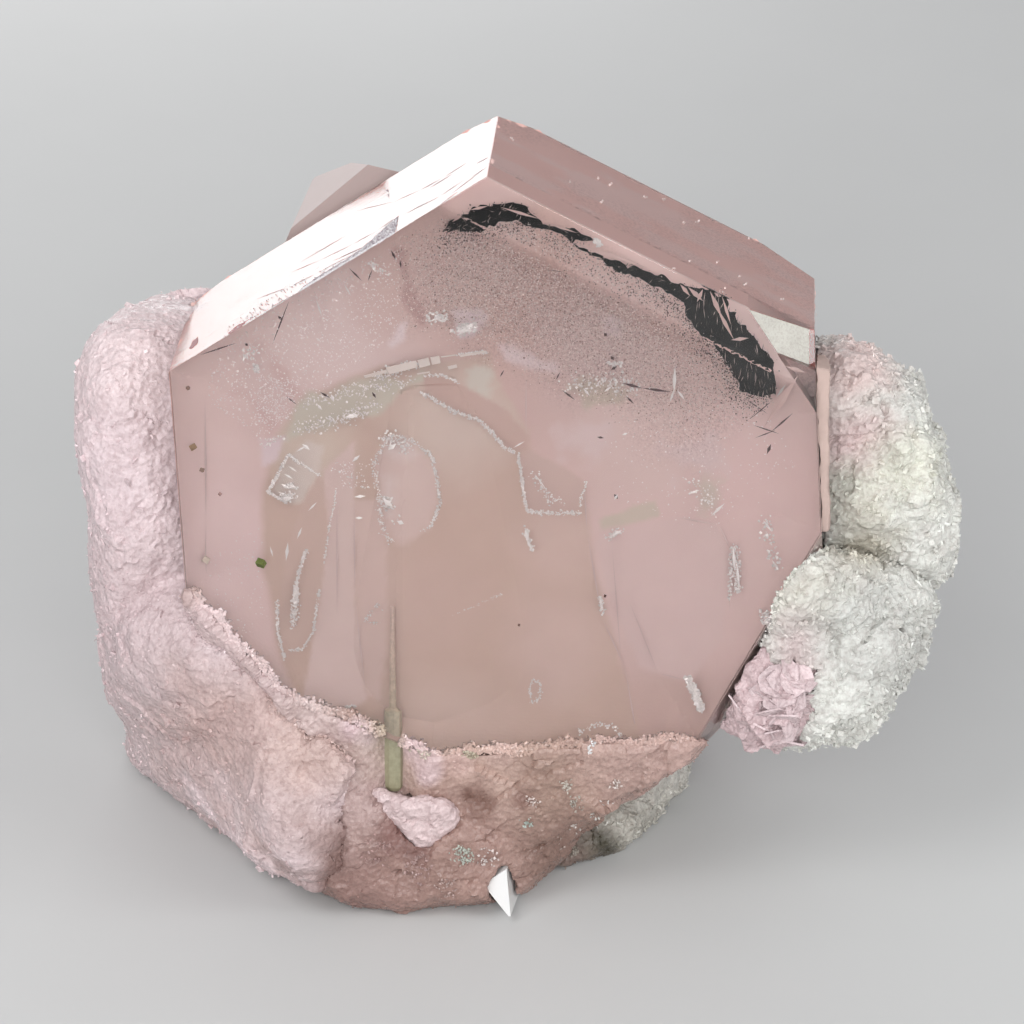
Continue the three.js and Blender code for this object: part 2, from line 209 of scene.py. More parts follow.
CLEAR_FACES = MORGANITE_FACES[:-BREAKS] + [clear_side(*face) for face in MORGANITE_FACES[-BREAKS:]]
FRONT_BEVEL = face_at(direction(RIGHT_CORNER, 1), 39.5 / math.sqrt(2))
BEVEL_LEDGE = face_through((-0.4, -0.9, 0.2), (31.3, 24.3, 0))

AXES = np.array(
    Matrix.Rotation(math.radians(TURN), 3, "Z") @ Matrix.Rotation(math.radians(90 - LEAN), 3, "X")
)


def crystal_origin():
    """Where the CAD model has the crystal's origin: its top, right and rear are flush with the crystal's."""
    turned = corners_of(MORGANITE_FACES) @ AXES.T
    high = np.array(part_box("morganite_crystal")[1]) / MM
    return high - turned.max(axis=0)


ORIGIN = crystal_origin()


def to_row(points):
    """From the crystal's frame in millimetres to the part's frame in metres."""
    return (np.asarray(points, float) @ AXES.T + ORIGIN) * MM


def to_crystal(points):
    """From the part's frame in metres to the crystal's frame in millimetres."""
    return (np.asarray(points, float) / MM - ORIGIN) @ AXES


# ---- the camera ----------------------------------------------------------------------------------

SIGHT_RIGHT = np.array((1.0, 0.0, 0.0))
SIGHT_UP = np.array((0, math.sin(math.radians(ELEVATION)), math.cos(math.radians(ELEVATION))))
SIGHT_BACK = np.cross(SIGHT_RIGHT, SIGHT_UP)
FOCAL = LENS / SENSOR * PICTURE  # in pixels
PIXEL_SIZE = CAMERA_DISTANCE / FOCAL
MIDDLE = PICTURE / 2
TARGET = (
    ORIGIN
    - (AXIS_PIXEL[0] - MIDDLE) * PIXEL_SIZE * SIGHT_RIGHT
    - (MIDDLE - AXIS_PIXEL[1]) * PIXEL_SIZE * SIGHT_UP
)
EYE = TARGET + CAMERA_DISTANCE * SIGHT_BACK


def make_camera():
    """The camera that sees the part as the photograph does."""
    data = bpy.data.cameras.new("camera")
    data.lens = LENS
    data.sensor_width = SENSOR
    data.clip_start = 0.01
    data.clip_end = 20
    camera = bpy.data.objects.new("camera", data)
    camera.location = EYE * MM
    camera.rotation_euler = Vector(-SIGHT_BACK).to_track_quat("-Z", "Y").to_euler()
    bpy.context.scene.collection.objects.link(camera)
    bpy.context.scene.camera = camera


def sight_lines(pixels):
    """The eye, and the directions in which it sees these pixels, in the crystal's frame."""
    pixels = np.atleast_2d(np.asarray(pixels, float))
    sight = (
        (pixels[:, :1] - MIDDLE) / FOCAL * SIGHT_RIGHT
        + (MIDDLE - pixels[:, 1:]) / FOCAL * SIGHT_UP
        - SIGHT_BACK
    ) @ AXES
    return (EYE - ORIGIN) @ AXES, sight / np.linalg.norm(sight, axis=1, keepdims=True)


def on_face(pixels, face, lift=0.0):
    """The points of an outer face, in the crystal's frame, that show at these pixels."""
    normal, distance = face
    eye, sight = sight_lines(pixels)
    return eye + sight * ((distance + lift - eye @ normal) / (sight @ normal))[:, None]


def behind_front(pixels, depth):
    """Points in the crystal's frame that show at these pixels, that deep behind its front face."""
    eye, sight = sight_lines(pixels)
    entry = eye - sight * (eye[2] / sight[:, 2:])
    bent = sight / IOR
    bent[:, 2] = -np.sqrt(1 - (bent[:, :2] ** 2).sum(axis=1))
    return entry - bent * (np.reshape(depth, (-1, 1)) / bent[:, 2:])


def pixels_of(points):
    """Where points of the part's frame, in metres, show in the photograph's frame."""
    offset = np.asarray(points, float) / MM - EYE
    away = -(offset @ SIGHT_BACK)
    across = MIDDLE + FOCAL * (offset @ SIGHT_RIGHT) / away
    down = MIDDLE - FOCAL * (offset @ SIGHT_UP) / away
    return np.stack([across, down], axis=1)


# ---- noise that is the same on each run ----------------------------------------------------------


def hashed(cells, seed):
    """A number from 0 to 1 for each whole-numbered cell."""
    x, y, z = (cells[..., k].astype(np.uint64) for k in range(3))
    mixed = x * np.uint64(73856093) ^ y * np.uint64(19349663) ^ z * np.uint64(83492791)
    mixed = mixed ^ np.uint64(seed * 2654435761 % 2**32)
    for shift, factor in ((15, 2246822519), (13, 3266489917), (16, 668265263)):
        mixed = mixed & np.uint64(0xFFFFFFFF)
        mixed = (mixed ^ (mixed >> np.uint64(shift))) * np.uint64(factor)
    return (mixed & np.uint64(0xFFFFFFFF)).astype(float) / 2**32


NOISE_SHIFT = 1000  # cells, which keeps the numbers of all cells above zero


def wave(points, size, seed):
    """Smooth noise, -1 to 1, with bumps of that size."""
    scaled = np.asarray(points, float) / size + NOISE_SHIFT
    cell = np.floor(scaled)
    part = scaled - cell
    part = part * part * (3 - 2 * part)
    total = np.zeros(len(scaled))
    for corner in itertools.product((0, 1), repeat=3):
        weight = np.prod(np.where(np.array(corner), part, 1 - part), axis=1)
        total += weight * hashed(cell + corner, seed)
    return total * 2 - 1


def waves(points, size, seed, octaves=4):
    """Noise with bumps of that size, and ever finer and fainter ones on them."""
    total = np.zeros(len(points))
    for octave in range(octaves):
        total += 0.5**octave * wave(points, size / 2**octave, seed + octave)
    return total


def facets(points, size, seed):
    """The relief of crystal grains of about that size: each has one flat, tilted top."""
    scaled = np.asarray(points, float) / size + NOISE_SHIFT
    home = np.floor(scaled)
    nearest = np.full(len(scaled), np.inf)
    height = np.zeros(len(scaled))
    for step in itertools.product((-1, 0, 1), repeat=3):
        cell = home + step
        heart = cell + np.stack([hashed(cell, seed + k) for k in range(3)], axis=1)
        away = scaled - heart
        distance = (away**2).sum(axis=1)
        tilt = np.stack([hashed(cell, seed + 10 + k) for k in range(3)], axis=1) - 0.5
        closer = distance < nearest
        nearest = np.where(closer, distance, nearest)
        height = np.where(closer, (tilt * away).sum(axis=1) + 0.4 * hashed(cell, seed + 20), height)
    return height


# ---- meshes --------------------------------------------------------------------------------------


def add_object(name, mesh):
    """A new object in the scene."""
    thing = bpy.data.objects.new(name, mesh)
    bpy.context.scene.collection.objects.link(thing)
    return thing


def finish_piece(thing, material, replaces=()):
    """Gives a piece its material, slot and body, and the CAD nodes that it stands for."""
    if material:
        thing.data.materials.clear()
        thing.data.materials.append(material)
    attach(thing, "root")
    if replaces:
        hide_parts(*replaces)
    return thing


def values_of(items, field, width):
    """A number or more of each item of a mesh, as the rows of an array."""
    flat = np.empty(len(items) * width)
    items.foreach_get(field, flat)
    return flat.reshape(-1, width)


def positions(mesh):
    """A mesh's points, in metres."""
    return values_of(mesh.vertices, "co", 3)


def vertex_normals(mesh):
    """The direction in which a mesh looks at each point."""
    return values_of(mesh.vertex_normals, "vector", 3)


def point_colours(mesh):
    """The colour painted on a mesh at each point."""
    return values_of(mesh.color_attributes["tint"].data, "color", 4)[:, :3]


def set_positions(mesh, points):
    """Moves a mesh's points to these, in metres."""
    mesh.vertices.foreach_set("co", np.asarray(points, np.float32).ravel())
    mesh.update()


def paint(mesh, name, colours):
    """Stores a colour, or a number as grey, for each vertex."""
    colours = np.asarray(colours, float)
    if colours.ndim == 1:
        colours = np.repeat(colours[:, None], 3, axis=1)
    layer = mesh.color_attributes.new(name, "FLOAT_COLOR", "POINT")
    full = np.concatenate([colours, np.ones((len(colours), 1))], axis=1)
    layer.data.foreach_set("color", full.astype(np.float32).ravel())


def as_mesh(made, name):
    """The mesh of what was made, with its faces turned outwards."""
    bmesh.ops.recalc_face_normals(made, faces=made.faces)
    mesh = bpy.data.meshes.new(name)
    made.to_mesh(mesh)
    made.free()
    return mesh


FLAT_ANGLE = 0.01  # radians, under which two faces are one


def hull_mesh(name, corners):
    """A closed flat-faced solid round corners in the crystal's frame."""
    made = bmesh.new()
    for point in to_row(corners):
        made.verts.new(point)
    bmesh.ops.convex_hull(made, input=made.verts)
    bmesh.ops.dissolve_limit(made, angle_limit=FLAT_ANGLE, verts=made.verts, edges=made.edges)
    return as_mesh(made, name)


def applied(thing, name):
    """The mesh that an object's modifiers make; the object goes."""
    evaluated = thing.evaluated_get(bpy.context.evaluated_depsgraph_get())
    mesh = bpy.data.meshes.new_from_object(evaluated)
    mesh.name = name
    bpy.data.objects.remove(thing)
    return mesh


def cut(thing, tool):
    """One solid without what another covers; the tool object goes."""
    modifier = thing.modifiers.new("cut", "BOOLEAN")
    modifier.object = tool
    modifier.operation = "DIFFERENCE"
    modifier.solver = "EXACT"
    mesh = applied(thing, "cut")
    bpy.data.objects.remove(tool)
    return mesh


def remeshed(mesh, voxel):
    """A closed mesh rebuilt from even voxels, fine enough for relief."""
    thing = add_object("remesh", mesh)
    modifier = thing.modifiers.new("voxels", "REMESH")
    modifier.mode = "VOXEL"
    modifier.voxel_size = voxel * MM
    return applied(thing, "remeshed")


def settle(mesh, points):
    """Moves a mesh's vertices to points in millimetres, kept inside the CAD model's box."""
    low, high = np.array(cad_low) / MM, np.array(cad_high) / MM
    set_positions(mesh, np.clip(points, low, high) * MM)


def strewn(name, form, places, turns, sizes, colours, finish):
    """A piece of many copies of a small form: each one's place and turn in the crystal's frame,
    its three half sizes and its colour, or one colour for all."""
    shape, faces = form
    grown = np.array(shape, float) * sizes[:, None]
    turned = np.einsum("kij,knj->kni", turns, grown) + places[:, None]
    firsts = np.arange(len(places))[:, None] * len(shape)
    rows = []
    for face in faces:
        rows.extend((firsts + face).tolist())
    mesh = bpy.data.meshes.new(name)
    mesh.from_pydata(to_row(turned.reshape(-1, 3)).tolist(), [], rows)
    colours = np.broadcast_to(colours, (len(places), 3))
    paint(mesh, "tint", np.repeat(colours, len(shape), axis=0))
    settle(mesh, positions(mesh) / MM)
    return finish_piece(add_object(name, mesh), finish)


def varied(colours, count, low, high, rng, most=0.95):
    """One colour, or one for each of so many grains, made darker or brighter grain by grain."""
    return np.clip(colours * rng.uniform(low, high, (count, 1)), 0, most)


def random_turns(count, rng):
    """Rotation matrices that point everywhere alike."""
    q = rng.normal(size=(count, 4))
    q /= np.linalg.norm(q, axis=1, keepdims=True)
    w, x, y, z = q.T
    return np.stack([
        np.stack([1 - 2 * (y * y + z * z), 2 * (x * y - z * w), 2 * (x * z + y * w)], axis=1),
        np.stack([2 * (x * y + z * w), 1 - 2 * (x * x + z * z), 2 * (y * z - x * w)], axis=1),
        np.stack([2 * (x * z - y * w), 2 * (y * z + x * w), 1 - 2 * (x * x + y * y)], axis=1),
    ], axis=1)


# Small forms, by their points and faces.
OCTAHEDRON_FACES = [
    (0, 1, 4), (1, 2, 4), (2, 3, 4), (3, 0, 4), (1, 0, 5), (2, 1, 5), (3, 2, 5), (0, 3, 5),
]
OCTAHEDRON = [(1, 0, 0), (0, 1, 0), (-1, 0, 0), (0, -1, 0), (0, 0, 1), (0, 0, -1)], OCTAHEDRON_FACES
BLADE = [(1, 0, 0), (0.4, 1, 0.15), (-1, 0, 0), (-0.4, -1, 0.15), (0, 0, 1), (0, 0, -1)], OCTAHEDRON_FACES
TETRAHEDRON = [(1, 1, 1), (-1, -1, 1), (-1, 1, -1), (1, -1, -1)], [(0, 1, 3), (0, 3, 2), (0, 2, 1), (1, 2, 3)]
BLOCK = [
    (1, 1, 0.8), (-1, 0.8, 1), (-0.9, -1, 1), (1, -0.9, 0.9),
    (0.9, 1, -1), (-1, 1, -0.8), (-1, -0.9, -1), (0.8, -1, -1),
], [(0, 1, 2, 3), (7, 6, 5, 4), (0, 4, 5, 1), (1, 5, 6, 2), (2, 6, 7, 3), (3, 7, 4, 0)]


def inside(outline, points):
    """Which points lie inside a closed outline."""
    outline = np.asarray(outline, float)
    x, y = np.asarray(points, float).T
    odd = np.zeros(len(x), bool)
    for (x1, y1), (x2, y2) in zip(outline, np.roll(outline, -1, axis=0)):
        crosses = (y1 > y) != (y2 > y)
        with np.errstate(divide="ignore", invalid="ignore"):
            at = (x2 - x1) * (y - y1) / (y2 - y1) + x1
        odd ^= crosses & (x < at)
    return odd


def scattered(outline, count, rng):
    """Random points inside an outline."""
    outline = np.asarray(outline, float)
    low, high = outline.min(axis=0), outline.max(axis=0)
    kept = np.empty((0, 2))
    while len(kept) < count:
        tried = rng.uniform(low, high, (count, 2))
        kept = np.concatenate([kept, tried[inside(outline, tried)]])
    return kept[:count]


def ragged(outline, step, amount, seed):
    """An outline with points every step and an uneven edge."""
    outline = np.asarray(outline, float)
    points = []
    for start, end in zip(outline, np.roll(outline, -1, axis=0)):
        count = max(1, round(np.linalg.norm(end - start) / step))
        points.extend(start + (end - start) * k / count for k in range(count))
    points = np.array(points)
    deep = np.concatenate([points, np.zeros((len(points), 1))], axis=1)
    shift = np.stack([waves(deep, step * 3, seed, 2), waves(deep, step * 3, seed + 7, 2)], axis=1)
    return points + amount * shift


def filled(outline, step, rough, seed):
    """Points and triangles that fill an outline, about a step apart."""
    edge = ragged(outline, step, rough, seed)
    low, high = edge.min(axis=0), edge.max(axis=0)
    grid = np.stack(np.meshgrid(
        np.arange(low[0], high[0], step), np.arange(low[1], high[1], step)
    ), axis=-1).reshape(-1, 2)
    grid += np.random.default_rng(seed).uniform(-0.3, 0.3, grid.shape) * step
    grid = grid[inside(edge, grid)]
    points = np.concatenate([edge, grid])
    ring = [(k, (k + 1) % len(edge)) for k in range(len(edge))]
    flat, _, triangles, _, _, _ = delaunay_2d_cdt([Vector(p) for p in points], ring, [], 1, NEAR)
    return np.array([tuple(p) for p in flat]), triangles


def thickened(mesh, name, thickness):
    """A thin closed sheet round a mesh."""
    thing = add_object("sheet", mesh)
    modifier = thing.modifiers.new("thick", "SOLIDIFY")
    modifier.thickness = thickness * MM
    modifier.offset = 0
    return applied(thing, name)


def sheet_mesh(name, points, triangles, thickness):
    """A thin closed sheet round triangles in the crystal's frame."""
    mesh = bpy.data.meshes.new(name)
    mesh.from_pydata(to_row(points).tolist(), [], triangles)
    return thickened(mesh, name, thickness)


def distance_to(outline, points):
    """How far points lie from an outline's edge."""
    outline = np.asarray(outline, float)
    nearest = np.full(len(points), 1e9)
    for start, end in zip(outline, np.roll(outline, -1, axis=0)):
        side = end - start
        share = np.clip((points - start) @ side / (side @ side), 0, 1)
        nearest = np.minimum(nearest, np.linalg.norm(points - start - share[:, None] * side, axis=1))
    return nearest


# ---- materials -----------------------------------------------------------------------------------


class Finish:
    """A material and short calls that add its nodes."""

    def __init__(self, name, **sockets):
        self.material = bpy.data.materials.new(name)
        self.material.use_nodes = True
        self.tree = self.material.node_tree
        self.surface = self.tree.nodes["Principled BSDF"]
        self.output = self.tree.nodes["Material Output"]
        self.place = self.add("ShaderNodeTexCoord").outputs["Object"]
        self.set(**sockets)

    def set(self, **sockets):
        for name, value in sockets.items():
            self.give(self.surface.inputs[name.replace("_", " ")], value)

    def give(self, socket, value):
        if isinstance(value, bpy.types.NodeSocket):
            self.tree.links.new(value, socket)
        elif socket.type == "RGBA" and len(value) == 3:
            socket.default_value = (*value, 1)
        else:
            socket.default_value = value

    def add(self, kind, inputs=(), **settings):
        node = self.tree.nodes.new(kind)
        for name, value in settings.items():
            setattr(node, name, value)
        for name, value in dict(inputs).items():
            self.give(node.inputs[name], value)
        return node

    def noise(self, size, detail=5, rough=0.6, place=None):
        return self.add("ShaderNodeTexNoise", {
            "Vector": place or self.place, "Scale": 1 / (size * MM), "Detail": detail, "Roughness": rough,
        }).outputs["Fac"]

    def grains(self, size):
        return self.add("ShaderNodeTexVoronoi", {"Vector": self.place, "Scale": 1 / (size * MM)})

    def ramp(self, factor, *stops):
        node = self.add("ShaderNodeValToRGB", {"Fac": factor})
        elements = node.color_ramp.elements
        while len(elements) < len(stops):
            elements.new(0.5)
        for element, (position, colour) in zip(elements, stops):
            element.position = position
            element.color = (*colour, 1) if np.ndim(colour) else (colour, colour, colour, 1)
        return node.outputs["Color"]

    def mix(self, factor, first, second, blend="MIX"):
        node = self.add("ShaderNodeMix", data_type="RGBA", blend_type=blend)
        self.give(node.inputs[0], factor)
        self.give(node.inputs[6], first)
        self.give(node.inputs[7], second)
        return node.outputs[2]

    def maths(self, operation, first, second):
        return self.add("ShaderNodeMath", {0: first, 1: second}, operation=operation).outputs[0]

    def bump(self, height, distance, strength):
        return self.add("ShaderNodeBump", {
            "Height": height, "Distance": distance * MM, "Strength": strength,
        }).outputs["Normal"]

    def painted(self, name="tint"):
        return self.add("ShaderNodeVertexColor", layer_name=name).outputs["Color"]

    def absorb(self, colour, density):
        """Plain absorption inside a clear piece, in metres."""
        node = self.add("ShaderNodeVolumeAbsorption", {"Color": colour, "Density": density})
        self.tree.links.new(node.outputs[0], self.output.inputs["Volume"])

    def along(self, way):
        """How far a point lies along a direction of the part's frame, in metres."""
        node = self.add("ShaderNodeVectorMath", {0: self.place, 1: tuple(way)}, operation="DOT_PRODUCT")
        return node.outputs["Value"]


def crystal_surface(name, rough):
    """The outside of the clear crystal."""
    f = Finish(name, Roughness=rough, IOR=IOR, Transmission_Weight=1.0)
    f.set(Base_Color=(1.0, 0.985, 0.985))
    f.absorb((0.80, 0.17, 0.12), 3.0)
    return f


def morganite_finish():
    """The crystal's smooth faces."""
    f = crystal_surface("morganite", 0.02)
    f.set(Specular_IOR_Level=0.25)
    f.set(Normal=f.bump(f.noise(9, detail=3), 0.02, 0.3))
    return f.material


def striated_finish():
    """A prism face with fine growth lines along its length."""
    f = crystal_surface("morganite_striated", 0.08)
    length = f.along(AXES @ np.array(direction(ROLL + 30)))
    lines = f.add("ShaderNodeCombineXYZ", {
        "X": f.maths("MULTIPLY", length, 0.05), "Y": f.along(AXES[:, 2]),
    }).outputs["Vector"]
    f.set(Normal=f.bump(f.noise(0.7, detail=4, place=lines), 0.05, 0.9))
    return f.material


def mottled_finish():
    """The small pearly bevel."""
    f = crystal_surface("morganite_bevel", 0.05)
    f.set(Normal=f.bump(f.noise(0.9, detail=5, rough=0.7), 0.012, 0.35))
    return f.material


def milk_finish(name):
    """The cloudy inside of a crystal: its colours and how sandy it is are painted on the mesh."""
    f = Finish(name, Roughness=0.8, Specular_IOR_Level=0.0)
    sand = f.ramp(f.noise(0.3, detail=3, rough=0.8), (0.38, (0.76, 0.72, 0.72)), (0.5, (0.98, 0.97, 0.97)),
                  (0.62, (1.06, 1.09, 1.09)))
    sandy = f.mix(f.painted("grit"), (1.0, 1.0, 1.0), sand)
    f.set(Base_Color=f.mix(1.0, f.painted(), sandy, "MULTIPLY"))
    return f.material


def painted_finish(name, **sockets):
    """A plain surface in the colours that are painted on the mesh."""
    f = Finish(name, **sockets)
    f.set(Base_Color=f.painted())
    return f.material


def glint_finish():
    """Tiny faces that throw the light back."""
    return painted_finish("glint", Roughness=0.36, Metallic=0.34)


def speck_finish(name):
    """A dull surface in the colours that are painted on the mesh."""
    return painted_finish(name, Roughness=0.6, Specular_IOR_Level=0.0)


def sugary_finish(name, grain=0.7, shine=(0.2, 0.65)):
    """Fine-grained mineral, its colour painted on the mesh: small tilted grains catch the light."""
    f = Finish(name)
    clouds = f.ramp(f.noise(3.5, detail=6, rough=0.7), (0.35, (0.90, 0.88, 0.88)), (0.65, 1.06))
    specks = f.ramp(f.noise(0.6, detail=3, rough=0.8), (0.4, (0.86, 0.83, 0.83)), (0.56, 1.0))
    colour = f.mix(1.0, f.painted(), clouds, "MULTIPLY")
    colour = f.mix(1.0, colour, specks, "MULTIPLY")
    cells = f.grains(grain)
    number = f.add("ShaderNodeSeparateColor", {"Color": cells.outputs["Color"]}).outputs[0]
    height = f.maths("ADD", cells.outputs["Distance"], f.maths("MULTIPLY", f.noise(0.5), 0.8))
    f.set(Base_Color=colour, Roughness=f.ramp(number, (0.0, shine[0]), (1.0, shine[1])))
    f.set(Normal=f.bump(height, 0.3, 0.6))
    return f.material


def sparkle_finish():
    """Small clean crystals on a rough surface."""
    return painted_finish("sparkle", Roughness=0.15)


def clear_finish(name, colour, rough, transmission, shine):
    """A small crystal that is clear in part."""
    f = Finish(name, Roughness=rough, IOR=1.55, Transmission_Weight=transmission, Specular_IOR_Level=shine)
    f.set(Base_Color=colour)
    f.set(Normal=f.bump(f.noise(2.5), 0.03, 0.4))
    return f.material


def tourmaline_finish():
    """A painted crystal with streaks."""
    f = Finish("tourmaline", Roughness=0.3)
    streak = f.ramp(f.noise(0.6, detail=3), (0.35, (0.86, 0.86, 0.84)), (0.65, (1.08, 1.08, 1.08)))
    f.set(Base_Color=f.mix(1.0, f.painted(), streak, "MULTIPLY"))
    return f.material


def floor_finish():
    """Plain pale grey with faint clouds."""
    f = Finish("floor", Roughness=0.75)
    f.set(Base_Color=f.ramp(f.noise(60, detail=3), (0.3, (0.58, 0.58, 0.575)), (0.7, (0.60, 0.60, 0.595))))
    return f.material


# ---- the clear crystal ---------------------------------------------------------------------------

MILK_INSET = 0.15  # from the clear crystal's faces to the cloudy heart
ROUGH_INSET = 0.05  # the same, under the rough layer
MILK_DEPTH = 4.9  # from the front face to the middle of the cloud behind it
MILK_RIM = 0.6  # from the front face to the cloud at its edges
MILK_ROUND = 2.6  # how soon the cloud falls back from there
UPPER_RIGHT_SHELF = 5.0  # how far in from the upper right edge the cloud stays close to the front
SHELF_FALL = 4  # over how many millimetres it falls back there
HEART_DEPTH = 5.3  # from the front face to the plain rear part
WALL_STEP = 0.05  # behind the cloud's front rim, where its walls take the colour of the sides


def heart_faces():
    """The clear crystal's faces moved in; the rough layer lies right on the heart."""
    insets = [MILK_INSET] * (len(CLEAR_FACES) - BREAKS) + [ROUGH_INSET] * BREAKS
    return [(normal, distance - inset) for (normal, distance), inset in zip(CLEAR_FACES, insets)]


def heart_outline():
    """The outline of the cloudy heart just behind the front face, in the crystal's frame."""
    faces = heart_faces()
    faces.append((FRONT_BEVEL[0], FRONT_BEVEL[1] - MILK_INSET))
    corners = corners_of(faces)
    rim = corners[corners[:, 2] > -MILK_INSET - NEAR, :2]
    centre = rim.mean(axis=0)
    return rim[np.argsort(np.arctan2(*(rim - centre).T))]


HEART_OUTLINE = heart_outline()


def cloud_depth(points):
    """How deep behind the front face the cloud begins at points of the crystal's frame."""
    flat = np.asarray(points)[:, :2]
    fall = 1 - np.exp(-distance_to(HEART_OUTLINE, flat) / MILK_ROUND)
    normal, distance = SIDE_FACES[1]
    from_shelf = np.clip((distance - flat @ normal[:2] - UPPER_RIGHT_SHELF) / SHELF_FALL, 0, 1)
    fall = np.minimum(fall, from_shelf**2 * (3 - 2 * from_shelf))
    return MILK_RIM + (MILK_DEPTH - MILK_RIM) * fall


def inside_at(pixels, share):
    """Points that show at these pixels, at a share of the way from the front face to the cloud."""
    rough = behind_front(pixels, MILK_DEPTH / 2)
    return behind_front(pixels, share * cloud_depth(rough))


FAR = 80  # outside the crystal on every side
EDGE_WIDTH = 0.1  # of the narrow bevel on all the crystal's edges
SAME_WAY = 0.999  # how alike two directions are, at least, that count as one


def make_crystal():
    """The clear crystal, with its small bevel cut out at the upper right."""
    body = add_object("body", hull_mesh("body", corners_of(CLEAR_FACES)))
    normal, distance = FRONT_BEVEL
    waste = corners_of([
        (-normal, -distance), BEVEL_LEDGE, face_at((0, 0, 1), FAR), face_at((0, 0, -1), FAR),
        face_at((1, 0, 0), FAR), face_at((0, 1, 0), FAR), face_at((-1, 0, 0), 0),
    ])
    mesh = cut(body, add_object("waste", hull_mesh("waste", waste)))
    made = bmesh.new()
    made.from_mesh(mesh)
    bmesh.ops.dissolve_limit(made, angle_limit=FLAT_ANGLE, verts=made.verts, edges=made.edges)
    bmesh.ops.bevel(made, geom=made.edges[:], offset=EDGE_WIDTH * MM, segments=2, profile=0.5, affect="EDGES")
    mesh = as_mesh(made, "cut")
    for finish in (morganite_finish(), striated_finish(), mottled_finish()):
        mesh.materials.append(finish)
    ways = AXES @ np.stack([SIDE_FACES[2][0], FRONT_BEVEL[0]], axis=1)
    for polygon in mesh.polygons:
        for k, facing in enumerate(np.array(polygon.normal) @ ways):
            if facing > SAME_WAY:
                polygon.material_index = k + 1
    return finish_piece(add_object("morganite_body", mesh), None)


def seen_through_front(points):
    """Where points of the crystal's frame show through its front face, in the photograph's frame."""
    towards = behind_front([AXIS_PIXEL], 1.0)[0] - behind_front([AXIS_PIXEL], 0.0)[0]
    depth = -points[:, 2:]
    return pixels_of(to_row(points - depth * towards))


def screen(red, green, blue):
    """A linear colour from a display's 0 to 255."""
    share = np.array((red, green, blue)) / 255
    return np.where(share < 0.04045, share / 12.92, ((share + 0.055) / 1.055) ** 2.4)


HEART_GAIN = (0.287, 0.340, 0.350)  # how brightly the lights show the heart through the clear skin
INNER_REFLECTION = 0.64  # share of the heart's light that the skin sends back to it


def heart_paint(seen):
    """The paint that shows as this linear colour through the clear skin."""
    gain = np.asarray(seen) / HEART_GAIN
    return gain / (1 + INNER_REFLECTION * gain)


def blended(colours, share, colour):
    """Colours mixed with one more, each by its own share of it."""
    share = np.clip(share, 0, 1)[:, None]
    return colours * (1 - share) + np.asarray(colour) * share


def spotted(base, seen_at, spots, unevenness):
    """A colour with soft round spots on it: each one's centre and reach in pixels, and its colour."""
    colours = np.tile(base, (len(seen_at), 1))
    for centre, reach, colour in spots:
        away = np.hypot(*(seen_at - centre).T)
        colours = blended(colours, 1.5 - away / reach + unevenness, screen(*colour))
    return colours


def region(seen_at, outline, soft, unevenness):
    """How much of a region covers each point: 1 inside, fading over so many pixels at the edge."""
    side = np.where(inside(outline, seen_at), 1.0, -1.0)
    return 0.5 + side * distance_to(outline, seen_at) / soft + unevenness


HEART_PINK = screen(205, 172, 167)
DEEP_PINK = screen(230, 160, 150)
PINK_SPOTS = [  # centre and reach in pixels, and the colour that shows
    ((225, 540), 80, (218, 182, 180)),
    ((330, 320), 90, (217, 188, 184)),
    ((560, 290), 150, (178, 144, 136)),
    ((480, 200), 40, (206, 170, 165)),
    ((640, 255), 50, (204, 166, 160)),
    ((440, 260), 70, (192, 160, 153)),
    ((600, 360), 70, (188, 161, 157)),
    ((735, 480), 60, (210, 172, 168)),
    ((650, 440), 60, (204, 174, 168)),
    ((660, 725), 70, (178, 149, 141)),
    ((590, 740), 60, (180, 150, 141)),
    ((300, 735), 60, (200, 175, 170)),
]
CORE_OUTLINE = [
    (262, 570), (260, 490), (275, 435), (300, 395), (330, 385), (380, 366), (440, 360), (490, 352),
    (500, 385), (530, 430), (530, 455), (585, 483), (590, 525), (598, 580), (615, 640), (628, 680),
    (642, 745), (560, 775), (450, 790), (380, 770), (300, 715), (280, 660),
]
CORE_BEIGE = screen(177, 151, 137)
CORE_SPOTS = [
    ((310, 440), 45, (188, 171, 154)),
    ((450, 420), 60, (190, 171, 158)),
    ((420, 600), 60, (179, 152, 140)),
    ((560, 640), 50, (189, 161, 150)),
    ((450, 740), 60, (186, 160, 147)),
    ((560, 540), 40, (188, 160, 149)),
]
